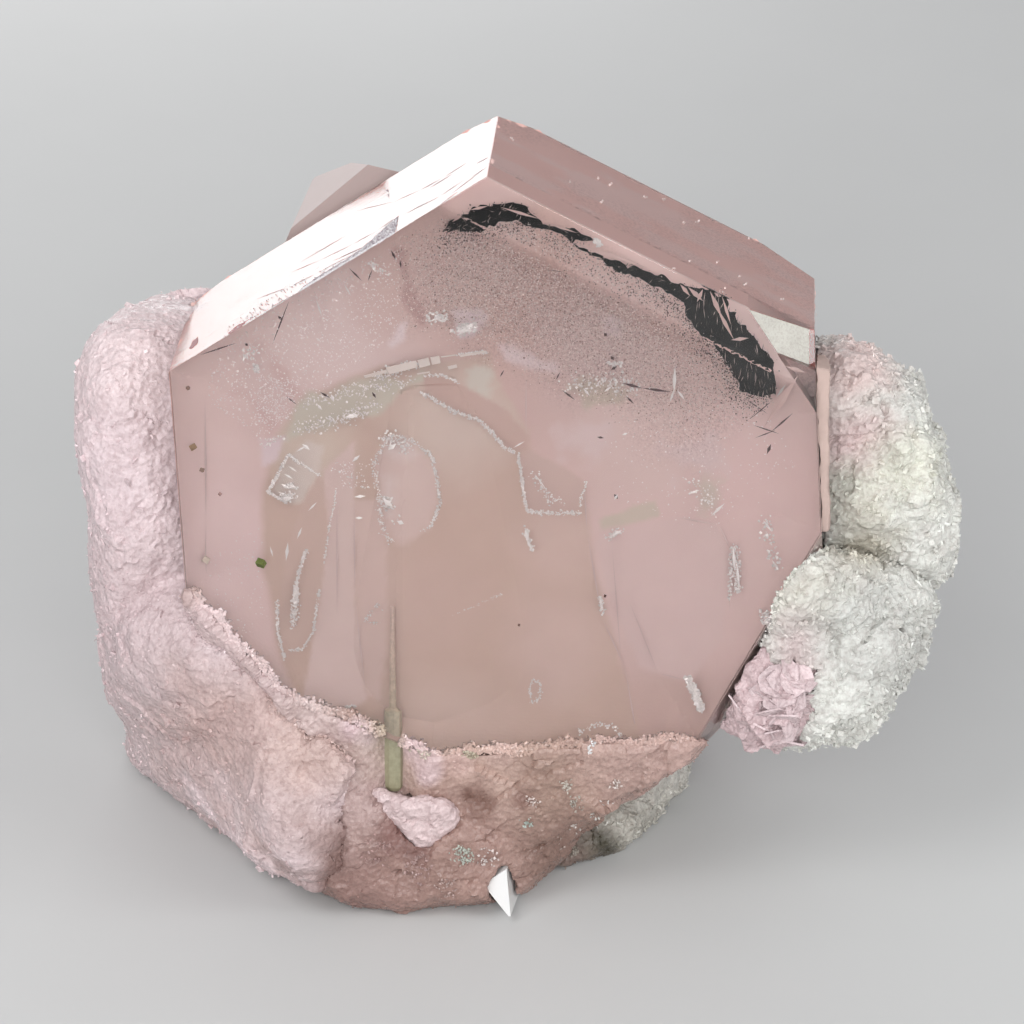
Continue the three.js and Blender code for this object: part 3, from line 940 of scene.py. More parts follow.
PATCHES = [  # outline in pixels, softness, unevenness and the colour that shows
    ([(306, 394), (340, 386), (365, 378), (401, 377), (420, 374), (422, 381), (392, 399), (358, 419),
      (324, 426), (297, 436), (283, 438), (292, 415)], 8, 0.9, (180, 180, 161)),
    ([(466, 368), (492, 366), (488, 398), (472, 396)], 8, 0.9, (188, 185, 170)),
    ([(566, 384), (590, 376), (620, 380), (639, 392), (618, 404), (585, 408)], 10, 1.0, (170, 160, 144)),
    ([(690, 480), (704, 471), (722, 482), (722, 512), (700, 515)], 9, 1.0, (190, 178, 163)),
    ([(601, 519), (645, 504), (656, 502), (660, 515), (629, 525), (604, 536)], 4, 0.5, (182, 172, 154)),
    ([(395, 250), (403, 252), (414, 290), (428, 322), (420, 326), (404, 300)], 5, 0.7, (166, 132, 128)),
    ([(252, 340), (264, 342), (300, 394), (288, 400)], 9, 0.7, (198, 163, 159)),
    ([(236, 392), (246, 390), (278, 424), (270, 432)], 9, 0.7, (196, 161, 157)),
    ([(452, 310), (480, 306), (487, 316), (474, 338), (458, 334)], 4, 0.6, (224, 198, 202)),
    ([(387, 346), (398, 324), (406, 322), (404, 338), (393, 347)], 4, 0.6, (224, 200, 202)),
    ([(499, 344), (530, 350), (558, 364), (560, 374), (530, 370), (505, 360)], 6, 0.8, (214, 190, 192)),
    ([(599, 316), (614, 313), (625, 322), (620, 340), (604, 333)], 5, 0.8, (212, 188, 190)),
    ([(261, 440), (283, 436), (276, 458), (264, 465)], 5, 0.7, (214, 190, 196)),
    ([(553, 425), (610, 423), (610, 450), (570, 452)], 18, 0.8, (204, 178, 176)),
    ([(664, 440), (712, 437), (715, 470), (680, 473)], 18, 0.8, (204, 178, 176)),
    ([(424, 376), (442, 375), (477, 392), (508, 410), (530, 437), (526, 452), (504, 447), (479, 420),
      (454, 411), (421, 392)], 3, 0.2, (176, 147, 137)),
    ([(518, 454), (529, 449), (566, 469), (586, 482), (580, 507), (572, 514), (530, 513), (524, 494)],
     3, 0.2, (182, 155, 146)),
    ([(398, 435), (420, 447), (436, 465), (440, 501), (431, 526), (404, 546), (388, 540), (378, 501),
      (374, 461), (386, 438)], 5, 0.5, (197, 170, 162)),
    ([(384, 440), (400, 434), (421, 448), (424, 458), (402, 460), (386, 456)], 6, 0.9, (208, 186, 180)),
    ([(378, 470), (392, 476), (396, 520), (384, 520)], 6, 0.9, (206, 184, 178)),
    ([(306, 438), (285, 460), (269, 492), (299, 506), (318, 474), (322, 446)], 4, 0.5, (202, 190, 178)),
    ([(300, 504), (318, 474), (336, 488), (329, 527), (319, 590), (313, 633), (302, 649), (285, 659),
      (277, 620), (284, 560)], 3, 0.2, (180, 154, 142)),
    ([(322, 470), (354, 440), (354, 600), (366, 700), (330, 725), (302, 700), (316, 620), (328, 530)],
     3, 0.1, (201, 174, 167)),
    ([(354, 500), (387, 500), (388, 620), (380, 700), (366, 696), (355, 600)], 3, 0.1, (192, 164, 155)),
    ([(675, 517), (719, 525), (731, 551), (731, 570), (722, 640), (690, 682), (640, 668), (612, 600),
      (596, 545), (601, 530)], 6, 0.2, (202, 172, 168)),
]
GRIT = [
    (390, 240), (455, 212), (500, 205), (560, 235), (640, 280), (700, 320), (775, 395), (740, 430),
    (700, 470), (600, 420), (500, 370), (400, 330),
]


def heart_colours(points, seen_at):
    """The colours that the cloudy heart shows: pink, the beige inner crystal, and patches on both."""
    uneven = waves(points, 7.0, 31)
    rough = waves(points, 2.2, 34)
    colours = spotted(HEART_PINK, seen_at, PINK_SPOTS, 0.25 * uneven)
    inner = spotted(CORE_BEIGE, seen_at, CORE_SPOTS, 0.25 * uneven)
    core = np.clip(region(seen_at, CORE_OUTLINE, 7, 0.3 * rough), 0, 1)[:, None]
    colours = colours * (1 - core) + inner * core
    for outline, soft, unevenness, colour in PATCHES:
        colours = blended(colours, region(seen_at, outline, soft, unevenness * rough), screen(*colour))
    return colours * (1 + 0.03 * uneven[:, None] + 0.02 * rough[:, None])


DEEPER_FROM = -5  # the height on the crystal where its sides begin to turn deep pink
DEEPER_OVER = 20
PALE_CORNER = (30, 26)  # right of and below this point they stay pale
PALE_OVER = 3


def side_colours(points):
    """The heart's pink as seen through the sides: deeper towards the top."""
    side = np.clip((points[:, 1] - DEEPER_FROM) / DEEPER_OVER, 0, 1)
    rightwards = np.clip((points[:, 0] - PALE_CORNER[0]) / PALE_OVER, 0, 1)
    downwards = np.clip((PALE_CORNER[1] - points[:, 1]) / PALE_OVER, 0, 1)
    side *= 1 - rightwards * downwards
    return blended(np.tile(HEART_PINK, (len(points), 1)), side, DEEP_PINK)


NEAR_FACE = 0.5  # points closer than this to a face of the heart are moved onto it


def make_milky_heart(finish):
    """The plain rear part of the crystal's cloudy inside."""
    faces = heart_faces()
    faces[0] = face_at((0, 0, 1), -HEART_DEPTH)
    mesh = remeshed(hull_mesh("heart", corners_of(faces)), HEART_VOXEL)
    points = to_crystal(positions(mesh))
    for normal, distance in faces:
        gap = distance - points @ normal
        points += np.where(gap < NEAR_FACE, gap, 0)[:, None] * normal
    set_positions(mesh, to_row(points))
    veils = np.clip(4 * waves(points * (1, 1, 2.5), 11.0, 35) - 0.6, 0, 1)
    colours = blended(side_colours(points), 0.25 * veils, screen(228, 200, 196))
    paint(mesh, "tint", heart_paint(colours * (1 + 0.08 * waves(points, 9.0, 33)[:, None])))
    paint(mesh, "grit", np.clip(3 * waves(points, 12.0, 36) - 0.3, 0, 0.7))
    return finish_piece(add_object("milky_heart", mesh), finish)


def make_front_cloud(finish):
    """The finely divided plate in front of it, in the colours of what lies in the crystal."""
    flat, triangles = filled(HEART_OUTLINE, CLOUD_STEP, 0.0, 41)
    points = np.concatenate([flat, -cloud_depth(flat)[:, None]], axis=1)
    mesh = backed(to_row(points), triangles, HEART_DEPTH)
    points = to_crystal(positions(mesh))
    seen_at = seen_through_front(points)
    in_wall = points[:, 2] < -cloud_depth(points) - WALL_STEP / 2
    colours = np.where(in_wall[:, None], side_colours(points), heart_colours(points, seen_at))
    paint(mesh, "tint", heart_paint(colours))
    sandy = region(seen_at, GRIT, 60, 0.3 * waves(points, 4.0, 43, 3)) - 0.3
    paint(mesh, "grit", np.clip(sandy, 0, 1))
    return finish_piece(add_object("front_cloud", mesh), finish)


def backed(points, triangles, depth):
    """A closed plate: a front of triangles, walls back to a depth in the crystal, and a flat rear."""
    made = bmesh.new()
    verts = [made.verts.new(point) for point in points]
    for triangle in triangles:
        made.faces.new([verts[k] for k in triangle])
    loop = [edge for edge in made.edges if edge.is_boundary]
    for is_rear in (False, True):
        walls = bmesh.ops.extrude_edge_only(made, edges=loop)["geom"]
        ring = [item for item in walls if isinstance(item, bmesh.types.BMVert)]
        places = to_crystal([vert.co for vert in ring])
        places[:, 2] = -depth if is_rear else places[:, 2] - WALL_STEP
        for vert, place in zip(ring, to_row(places)):
            vert.co = place
        loop = [item for item in walls if isinstance(item, bmesh.types.BMEdge) and item.is_boundary]
    bmesh.ops.edgeloop_fill(made, edges=loop)
    return as_mesh(made, "plate")


REAR_COVER = 0.3  # what the inner crystal leaves of the outer one at the rear


def make_core():
    """The inner crystal: what shows of it stands just in front of the cloudy heart."""
    mesh = remeshed(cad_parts["inner_quartz"].data.copy(), CORE_VOXEL)
    points = to_crystal(positions(mesh))
    points[:, 2] = np.maximum(points[:, 2], REAR_COVER - THICKNESS)
    set_positions(mesh, to_row(points))
    seen_at = seen_through_front(points)
    paint(mesh, "tint", heart_paint(heart_colours(points, seen_at)))
    paint(mesh, "grit", np.zeros(len(points)))
    core = add_object("cloudy_core", mesh)
    return finish_piece(core, milk_finish("cloudy_core"), ["inner_quartz"])


# ---- the broken end and the tourmaline -----------------------------------------------------------

SURFACE_GAIN = 1.06  # from the colour that shows on an outer surface to the paint
# The broken end's own brownish pink, made darker as painted shade because its surface faces down. The broad
# dark spots in its lower part are painted shade as well. The small brown wisps, lilac patches and pale grains
# are its own colours.
BROKEN_PINK_AND_SHADE = screen(164, 136, 127)
BROKEN_AND_SHADE_SPOTS = [
    ((380, 760), 45, (184, 166, 154)),
    ((495, 765), 70, (186, 159, 148)),
    ((560, 800), 50, (156, 130, 118)),
    ((560, 855), 40, (134, 108, 98)),
    ((605, 755), 40, (176, 149, 138)),
    ((650, 775), 35, (146, 121, 112)),
    ((370, 885), 70, (146, 117, 110)),
    ((450, 850), 60, (156, 127, 118)),
    ((215, 640), 60, (208, 187, 187)),
    ((260, 690), 55, (200, 179, 178)),
    ((310, 740), 45, (197, 177, 174)),
    ((740, 640), 80, (200, 174, 169)),
    ((650, 730), 60, (182, 154, 146)),
    ((340, 800), 50, (180, 156, 152)),
    ((480, 803), 15, (126, 96, 86)), ((468, 795), 8, (122, 92, 82)), ((522, 800), 11, (136, 106, 96)),
    ((445, 875), 14, (148, 120, 111)), ((395, 836), 18, (134, 101, 95)), ((416, 849), 14, (126, 95, 89)),
    ((415, 744), 13, (203, 178, 178)), ((429, 760), 12, (203, 180, 179)), ((428, 776), 10, (204, 181, 181)),
    ((357, 728), 12, (206, 183, 185)), ((366, 738), 9, (198, 178, 176)), ((391, 722), 14, (174, 160, 140)),
    ((500, 748), 16, (192, 164, 155)), ((460, 762), 12, (190, 161, 153)),
]
CLUSTERS = [  # small crystals on the broken end: centre and reach in pixels, how many, and their colour
    ((592, 747), 5, 40, (238, 236, 236)), ((566, 785), 5, 50, (196, 188, 178)),
    ((576, 802), 6, 60, (176, 168, 158)), ((595, 813), 6, 70, (196, 192, 186)),
    ((611, 800), 6, 70, (214, 206, 202)), ((614, 783), 4, 40, (206, 194, 188)),
    ((463, 855), 10, 160, (184, 188, 178)), ((488, 856), 11, 160, (212, 200, 196)),
    ((528, 823), 4, 40, (178, 188, 180)), ((533, 801), 5, 40, (206, 190, 184)),
    ((574, 827), 5, 40, (196, 186, 180)), ((560, 842), 6, 60, (186, 168, 160)),
    ((420, 868), 16, 120, (176, 148, 144)), ((376, 850), 14, 120, (172, 142, 138)),
    ((448, 888), 12, 90, (184, 160, 154)), ((470, 742), 14, 90, (190, 178, 158)),
    ((372, 718), 9, 90, (186, 180, 152)), ((425, 742), 12, 110, (198, 186, 172)),
    ((585, 852), 12, 160, (160, 150, 140)), ((650, 765), 14, 60, (176, 150, 142)),
]


OVERCUT = 0.03  # the room between the rough end and the clear crystal


def make_broken_end():
    """The rough lower end: what the CAD crystal has outside the clear one."""
    copy = add_object("end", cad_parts["morganite_crystal"].data.copy())
    tool = add_object("tool", hull_mesh("tool", corners_of(CLEAR_FACES, OVERCUT)))
    mesh = cut(copy, tool)
    mesh = remeshed(mesh, BROKEN_VOXEL)
    roughen(mesh, BROKEN_GRAINS, 0.05, 40)
    bare_needle(mesh)
    paint_surface(mesh, BROKEN_PINK_AND_SHADE, BROKEN_AND_SHADE_SPOTS, 45)
    finish = sugary_finish("broken_end", shine=(0.08, 0.5))
    return finish_piece(add_object("broken_end", mesh), finish, ["morganite_crystal"])


NEEDLE_LOW = np.array((-11.9, -31.0, -1.9))
NEEDLE_HIGH = np.array((-12.1, -8.0, -2.3))
NEEDLE_SIDES = 9
NEEDLE_RINGS = [  # share of the length, and the radius there
    (0.0, 0.75), (0.02, 1.0), (0.2, 1.05), (0.29, 1.0), (0.31, 1.0), (0.44, 0.95), (0.46, 0.4), (1.0, 0.22),
]
NEEDLE_COLOURS = [  # share of the length, and the colour that shows there
    (0.0, (142, 137, 112)), (0.3, (152, 147, 124)), (0.44, (160, 156, 130)),
    (0.46, (162, 150, 128)), (0.7, (172, 153, 138)), (1.0, (184, 158, 147)),
]

# The hollow that the tourmaline lies in, by its middle.
BED_REACH = 4
BED_FLAT = 1.0
BED_RISE = 0.1
BED_SLOPE = 0.7


def bare_needle(mesh):
    """Moves the broken surface back from in front of the tourmaline."""
    points = to_crystal(positions(mesh))
    axis = NEEDLE_HIGH - NEEDLE_LOW
    share = np.clip((points - NEEDLE_LOW) @ axis / (axis @ axis), 0, 1)
    middle = NEEDLE_LOW + share[:, None] * axis
    aside = np.abs(points[:, 0] - middle[:, 0])
    near = (aside < BED_REACH) & (np.abs(points[:, 1] - middle[:, 1]) < BED_FLAT)
    near &= points[:, 2] > middle[:, 2] - BED_FLAT
    level = middle[:, 2] + BED_RISE + BED_SLOPE * np.maximum(aside - BED_FLAT, 0)
    points[:, 2] = np.where(near, np.minimum(points[:, 2], level), points[:, 2])
    settle(mesh, to_row(points) / MM)


def make_needle():
    """The tourmaline: a stout olive prism at the broken end, and a thin faint one in the clear crystal."""
    sides = NEEDLE_SIDES
    points, shares = [], []
    for share, radius in NEEDLE_RINGS:
        middle = NEEDLE_LOW + share * (NEEDLE_HIGH - NEEDLE_LOW)
        for k in range(sides):
            angle = 2 * math.pi * k / sides
            reach = radius * (1 + 0.12 * math.sin(2 * angle + 1))
            points.append(middle + (reach * math.cos(angle), 0, reach * math.sin(angle)))
            shares.append(share)
    last = len(points) - sides
    faces = [tuple(range(sides)), tuple(range(len(points) - 1, last - 1, -1))]
    for first in range(0, last, sides):
        for k in range(sides):
            after = (k + 1) % sides
            faces.append((first + k, first + sides + k, first + sides + after, first + after))
    mesh = bpy.data.meshes.new("tourmaline")
    mesh.from_pydata(to_row(points).tolist(), [], faces)
    made = bmesh.new()
    made.from_mesh(mesh)
    mesh = as_mesh(made, "tourmaline")
    stops = [stop for stop, _ in NEEDLE_COLOURS]
    seen = np.array([screen(*colour) for _, colour in NEEDLE_COLOURS])
    colours = np.stack([np.interp(shares, stops, seen[:, k]) for k in range(3)], axis=1)
    is_bare = np.array(shares)[:, None] < 0.3
    paint(mesh, "tint", np.where(is_bare, SURFACE_GAIN * colours, heart_paint(colours)))
    needle = add_object("tourmaline", mesh)
    return finish_piece(needle, tourmaline_finish(), ["tourmaline_needle"])


SEAM_WIDTH = 0.9  # the widest gap that grains close


def make_seam(name, thing, other, finish, seed):
    """Grains that fill the narrow gap between two rough surfaces, in the first one's colours."""
    tree = BVHTree.FromPolygons(
        [vert.co for vert in other.data.vertices], [tuple(face.vertices) for face in other.data.polygons]
    )
    rng = np.random.default_rng(seed)
    points = positions(thing.data)
    tints = point_colours(thing.data)
    places, colours = [], []
    for k in rng.permutation(len(points)):
        nearest = tree.find_nearest(Vector(points[k]), SEAM_WIDTH * MM)[0]
        if nearest is not None:
            places.append(points[k] + (np.array(nearest) - points[k]) * rng.random())
            colours.append(tints[k])
        if len(places) == SEAM_GRAINS:
            break
    count = len(places)
    sizes = rng.uniform(0.15, 0.5, (count, 1)) * rng.uniform(0.6, 1.0, (count, 3)) * SEAM_SHAPE
    colours = varied(np.array(colours), count, 0.9, 1.15, rng, 0.97)
    turns = random_turns(count, rng)
    return strewn(name, BLADE, to_crystal(places), turns, sizes, colours, finish)


def front_corners(faces):
    """The corners of a crystal's front face, in order."""
    corners = corners_of(faces)
    corners = corners[corners[:, 2] > -NEAR]
    centre = corners.mean(axis=0)
    return corners[np.argsort(np.arctan2(*(corners - centre).T[:2]))]


BROKEN_LENGTH = 80  # about as long as the broken edges are together
NEEDLE_ROOM = 0.9  # to each side of the tourmaline, without grains


def make_ragged_edge():
    """Grains along the front face's broken edges, where the rough surface begins."""
    rng = np.random.default_rng(15)
    corners = front_corners(CLEAR_FACES)
    places = []
    for start, end in zip(corners, np.roll(corners, -1, axis=0)):
        middle = (start + end) / 2
        if all(abs(normal @ middle - distance) > NEAR for normal, distance in CLEAR_FACES[-BREAKS:]):
            continue
        share = rng.random((round(EDGE_GRAINS * np.linalg.norm(end - start) / BROKEN_LENGTH), 1))
        places.append(start + (end - start) * share)
    places = np.concatenate(places)
    places = places[np.abs(places[:, 0] - NEEDLE_HIGH[0]) > NEEDLE_ROOM]
    uneven = waves(places, 3.0, 17, 3)
    outward = places[:, :2] / np.linalg.norm(places[:, :2], axis=1, keepdims=True)
    reach = rng.normal(0, 0.35, len(places)) - 0.1 - 0.8 * np.abs(uneven)
    places[:, :2] += outward * reach[:, None]
    places[:, 2] = rng.uniform(-0.15, 0.05, len(places))
    sizes = rng.uniform(0.1, 0.4, (len(places), 1)) * EDGE_SHAPE
    colours = spotted(BROKEN_PINK_AND_SHADE, pixels_of(to_row(places)), BROKEN_AND_SHADE_SPOTS, 0.3 * uneven)
    colours = varied(SURFACE_GAIN * colours, len(places), 0.9, 1.25, rng)
    turns = front_turns(len(places), rng, 0.4)
    return strewn("ragged_edge", BLADE, places, turns, sizes, colours, sparkle_finish())


# ---- marks on the crystal's faces ----------------------------------------------------------------

GROWTH_LINES = [  # lines of pixels on the bright upper left face
    [(289, 273), (320, 260), (353, 244), (376, 231), (398, 216)],
    [(355, 211), (395, 201), (420, 190), (442, 178), (468, 162)],
    [(409, 227), (433, 211), (464, 187)], [(475, 164), (492, 155)], [(426, 190), (454, 173)],
    [(256, 299), (291, 286), (315, 274), (355, 253)], [(300, 262), (352, 232)], [(470, 178), (490, 165)],
    [(330, 262), (372, 243)], [(230, 330), (262, 312), (298, 297)], [(386, 189), (389, 192), (388, 198)],
    [(404, 214), (440, 196), (466, 178)], [(448, 196), (480, 172)],
]
WEDGE = [
    (398, 216), (396, 228), (393, 237), (384, 245), (364, 258), (339, 273), (313, 289), (297, 296),
    (301, 288), (322, 274), (345, 260), (362, 248), (380, 232),
]
WEDGE_TAIL = [(339, 262), (345, 268), (313, 288), (262, 316), (222, 337), (224, 328), (268, 299), (300, 280)]
PINK_CHIPS = [
    [(189, 348), (193, 341), (198, 337), (197, 344), (191, 349)],
    [(228, 333), (236, 326), (245, 322), (240, 328), (232, 334)],
    [(459, 197), (470, 189), (481, 184), (474, 191), (464, 197)],
]
FACE_SPECKS = [
    (611, 184), (645, 197), (602, 202), (664, 200), (697, 222), (684, 222), (717, 262), (740, 276),
    (745, 284), (749, 237), (782, 300), (570, 181), (598, 178), (512, 138), (674, 268), (690, 261),
]
PEARLY_BEVEL = [
    (746, 307), (778, 314), (809, 321), (809, 343), (809, 365), (792, 364), (776, 362), (760, 335),
]

GRAIN_LIFT = 0.05  # how high grains, sheets and lines lie on a face
SHEET_LIFT = 0.03
LINE_LIFT = 0.02
SHEET = 0.05  # thickness
EDGE_ROOM = 0.08  # how far marks on a face stay from its edges
SHALLOW = 0.05  # faces that lean less than this against it have no edge with it


def kept_on(points, face):
    """Moves points along a face until they lie within its edges."""
    others = CLEAR_FACES + ([BEVEL_LEDGE] if face is FRONT_BEVEL else [])
    for normal, distance in others:
        across = normal - (normal @ face[0]) * face[0]
        slope = across @ normal
        if slope > SHALLOW:
            beyond = np.maximum(points @ normal - distance + EDGE_ROOM, 0)
            points = points - beyond[:, None] / slope * across
    return points


LINE_GREY = screen(176, 172, 178)
LINE_HEIGHT = 0.03


def make_growth_lines(finish, face):
    """Fine grey lines along the upper left face: the edges of its growth layers."""
    starts, ends = [], []
    for line in GROWTH_LINES:
        starts.extend(line[:-1])
        ends.extend(line[1:])
    low, high = (kept_on(on_face(line, face, LINE_LIFT), face) for line in (starts, ends))
    lines = high - low
    half = np.linalg.norm(lines, axis=1) / 2
    first = lines / (2 * half[:, None])
    turns = np.stack([first, np.cross(face[0], first), np.tile(face[0], (len(lines), 1))], axis=2)
    widths = np.random.default_rng(25).uniform(0.07, 0.2, len(lines))
    sizes = np.stack([half, widths, np.full(len(lines), LINE_HEIGHT)], axis=1)
    return strewn("growth_lines", OCTAHEDRON, (low + high) / 2, turns, sizes, LINE_GREY, finish)


def make_patch(name, outline, face, finish, colour, sandy, seed):
    """A thin sheet on a face, its colour painted on it."""
    flat, triangles = filled(outline, 1.6, 0.4, seed)
    mesh = sheet_mesh(name, kept_on(on_face(flat, face, SHEET_LIFT), face), triangles, SHEET)
    points = positions(mesh) / MM
    paint(mesh, "tint", SURFACE_GAIN * colour * (1 + 0.05 * waves(points, 1.5, seed, 3)[:, None]))
    paint(mesh, "grit", np.full(len(points), float(sandy)))
    return finish_piece(add_object(name, mesh), finish)


def make_frost_grains(face):
    """White grains on the grey wedge, thinning out along the face's lower edge."""
    rng = np.random.default_rng(32)
    wedge = scattered(WEDGE, FROST_GRAINS, rng)
    tail = scattered(WEDGE_TAIL, FROST_GRAINS // 6, rng)
    places = kept_on(on_face(np.concatenate([wedge, tail]), face, GRAIN_LIFT), face)
    sizes = rng.uniform(0.04, 0.11, (len(places), 3))
    colours = varied(screen(234, 230, 232), len(places), 0.8, 1.1, rng)
    turns = random_turns(len(places), rng)
    finish = speck_finish("frost_grain")
    return strewn("frost_grains", TETRAHEDRON, places, turns, sizes, colours, finish)


def make_face_specks(face):
    """White chips on the upper right face."""
    rng = np.random.default_rng(33)
    pixels = np.repeat(np.array(FACE_SPECKS, float), 3, axis=0)
    places = on_face(pixels + rng.normal(0, 0.9, pixels.shape), face, GRAIN_LIFT)
    sizes = rng.uniform(0.05, 0.14, (len(places), 3))
    turns = random_turns(len(places), rng)
    finish = speck_finish("face_speck")
    return strewn("face_specks", TETRAHEDRON, places, turns, sizes, screen(228, 208, 204), finish)


def make_face_marks():
    """All that lies on the clear crystal's faces."""
    upper_left = SIDE_FACES[2]
    make_growth_lines(speck_finish("growth_line"), upper_left)
    frost = milk_finish("frost")
    make_face_specks(SIDE_FACES[1])
    make_patch("grey_wedge", WEDGE, upper_left, frost, screen(182, 170, 176), 1.0, 26)
    make_frost_grains(upper_left)
    for k, chip in enumerate(PINK_CHIPS):
        make_patch(f"pink_chip_{k + 1}", chip, upper_left, frost, screen(196, 160, 160), 0.3, 27 + k)
    make_patch("pearly_bevel", PEARLY_BEVEL, FRONT_BEVEL, frost, screen(193, 190, 182), 0.6, 31)


# ---- inclusions ----------------------------------------------------------------------------------
# Where each one shows, in pixels of the photograph's frame, and how deep it lies.

DARK_FILM = [
    (451, 220), (474, 207), (500, 204), (519, 204), (531, 211), (544, 223), (560, 226), (577, 231),
    (596, 239), (572, 243), (601, 255), (630, 265), (650, 273), (681, 285), (708, 291), (725, 294),
    (735, 318), (756, 338), (774, 362), (776, 394), (758, 396), (742, 393), (737, 379), (727, 362),
    (713, 345), (698, 333), (688, 316), (679, 301), (659, 289), (635, 277), (615, 268), (596, 258),
    (582, 250), (562, 236), (543, 228), (528, 224), (509, 221), (494, 226), (480, 231), (440, 233),
]
DARK_SHARE = 0.80  # of the way to the cloud
DARK_SHEET = 0.06  # thickness
OVAL_CRACK = [
    (398, 435), (411, 440), (420, 447), (432, 456), (437, 479), (440, 501), (436, 515), (431, 526),
    (408, 538), (404, 546), (388, 540), (383, 529), (380, 511), (378, 488), (375, 476), (374, 461),
    (381, 449), (390, 436),
]

# The paint of what lies in the crystal.
GLINT_COLOUR = (1.0, 0.82, 0.77)
SPECK_COLOUR = (0.44, 0.26, 0.22)
FRINGE_COLOUR = (0.10, 0.05, 0.045)
DUST_COLOUR = (0.97, 0.86, 0.84)
CRACK_COLOUR = (0.97, 0.90, 0.87)
FIBRE_COLOUR = (0.90, 0.68, 0.64)
DARK_COLOUR = (0.004, 0.003, 0.003)
BRIGHT_BAR_COLOUR = (0.97, 0.91, 0.88)
DARK_BAR_COLOUR = (0.13, 0.08, 0.08)
FAINT_BAR_COLOUR = (0.80, 0.62, 0.59)
SPLINTER_COLOUR = (0.80, 0.58, 0.54)

# How far on the way to the cloud grains lie, from and to.
GRIT_SHARES = (0.80, 0.95)
FRINGE_SHARES = (0.70, 0.78)
DUST_SHARES = (0.3, 0.9)
FIBRE_SHARES = (0.70, 0.80)

GLINT_TILT = 0.2  # the slope at which a flake sends the light of the room to the camera


def front_turns(count, rng, tilt=0.1):
    """Rotation matrices of flakes that lie nearly along the front face."""
    spin = rng.uniform(0, 2 * math.pi, count)
    normal = np.concatenate([rng.normal(0, tilt, (count, 2)) + (0, GLINT_TILT), np.ones((count, 1))], axis=1)
    normal /= np.linalg.norm(normal, axis=1, keepdims=True)
    first = np.stack([np.cos(spin), np.sin(spin), np.zeros(count)], axis=1)
    first -= normal * (first * normal).sum(axis=1, keepdims=True)
    first /= np.linalg.norm(first, axis=1, keepdims=True)
    return np.stack([first, np.cross(normal, first), normal], axis=2)


def make_grains(name, pixels, shares, sizes, colours, finish, rng):
    """Small crystal flakes in the clear skin, in millimetres and each at its share of the depth."""
    places = inside_at(pixels, shares)
    sizes = np.reshape(sizes, (-1, 1)) * rng.uniform(0.6, 1.3, (len(places), 3)) * FLAKE_SHAPE
    turns = front_turns(len(places), rng)
    return strewn(name, TETRAHEDRON, places, turns, sizes, colours, finish)


# In pixels: how the sandy layer thins out, and how its darkest grains fall away from the film.
GRIT_MARGIN = 50
GRIT_CORNER = (560, 430)
GRIT_SLOPE = 0.35
GRIT_FADE = 130
FRINGE_SPREAD = 13
FRINGE_WAY = (-0.45, 0.9)
FRINGE_BLUR = 3


def make_grit(bright, dark):
    """The sandy layer: thousands of bright and dark grains, the darkest beside the dark film."""
    rng = np.random.default_rng(5)
    pixels = scattered(GRIT, GRIT_GRAINS, rng)
    dense = np.clip(distance_to(GRIT, pixels) / GRIT_MARGIN, 0, 1) + 0.15
    above = GRIT_CORNER[1] - pixels[:, 1] + GRIT_SLOPE * (pixels[:, 0] - GRIT_CORNER[0])
    towards_top = np.clip(above / GRIT_FADE, 0.1, 1)
    pixels = pixels[rng.random(len(pixels)) < dense * towards_top]
    fringe = scattered(DARK_FILM, FRINGE_GRAINS, rng)
    away = np.abs(rng.normal(0, FRINGE_SPREAD, (len(fringe), 1)))
    fringe += away * FRINGE_WAY + rng.normal(0, FRINGE_BLUR, fringe.shape)
    fringe = fringe[~inside(DARK_FILM, fringe)]
    near_film = np.arange(len(pixels) + len(fringe)) >= len(pixels)
    pixels = np.concatenate([pixels, fringe])
    count = len(pixels)
    shares = rng.uniform(*GRIT_SHARES, count)
    shares[near_film] = rng.uniform(*FRINGE_SHARES, near_film.sum())
    sizes = rng.uniform(0.03, 0.07, count)
    shine = rng.random(count) < np.where(near_film, 0.4, 0.82)
    glow = varied(GLINT_COLOUR, count, 0.72, 0.98, rng, 1)
    shade = np.where(near_film[:, None], FRINGE_COLOUR, SPECK_COLOUR)
    shade *= rng.uniform(0.7, 1.3, (count, 1))
    kinds = [("grit_glints", shine, glow, bright), ("grit_specks", ~shine, shade, dark)]
    for name, chosen, colours, finish in kinds:
        make_grains(name, pixels[chosen], shares[chosen], sizes[chosen], colours[chosen], finish, rng)


DUST_AREAS = [  # outline, how many grains
    ([(215, 345), (330, 275), (400, 245), (400, 330), (330, 385), (260, 440), (205, 400)], 1700),
    ([(258, 376), (300, 380), (290, 420), (255, 425)], 350),
    ([(205, 560), (260, 520), (270, 620), (230, 650)], 120),
    ([(600, 420), (760, 400), (800, 470), (720, 540), (620, 500)], 300),
    ([(340, 460), (372, 465), (370, 490), (338, 488)], 60),
]


def make_dust(finish):
    """Fine sparkles in the clear skin."""
    rng = np.random.default_rng(6)
    pixels = np.concatenate([scattered(outline, count, rng) for outline, count in DUST_AREAS])
    count = len(pixels)
    shares = rng.uniform(*DUST_SHARES, count)
    sizes = rng.uniform(0.035, 0.075, count)
    make_grains("dust", pixels, shares, sizes, DUST_COLOUR, finish, rng)


def turn_along(lines):
    """Rotation matrices whose first axis lies along each line, and whose second is in the front plane."""
    first = lines / np.linalg.norm(lines, axis=1, keepdims=True)
    other = np.cross((0, GLINT_TILT, 1), first)
    other /= np.linalg.norm(other, axis=1, keepdims=True)
    return np.stack([first, other, np.cross(first, other)], axis=2)


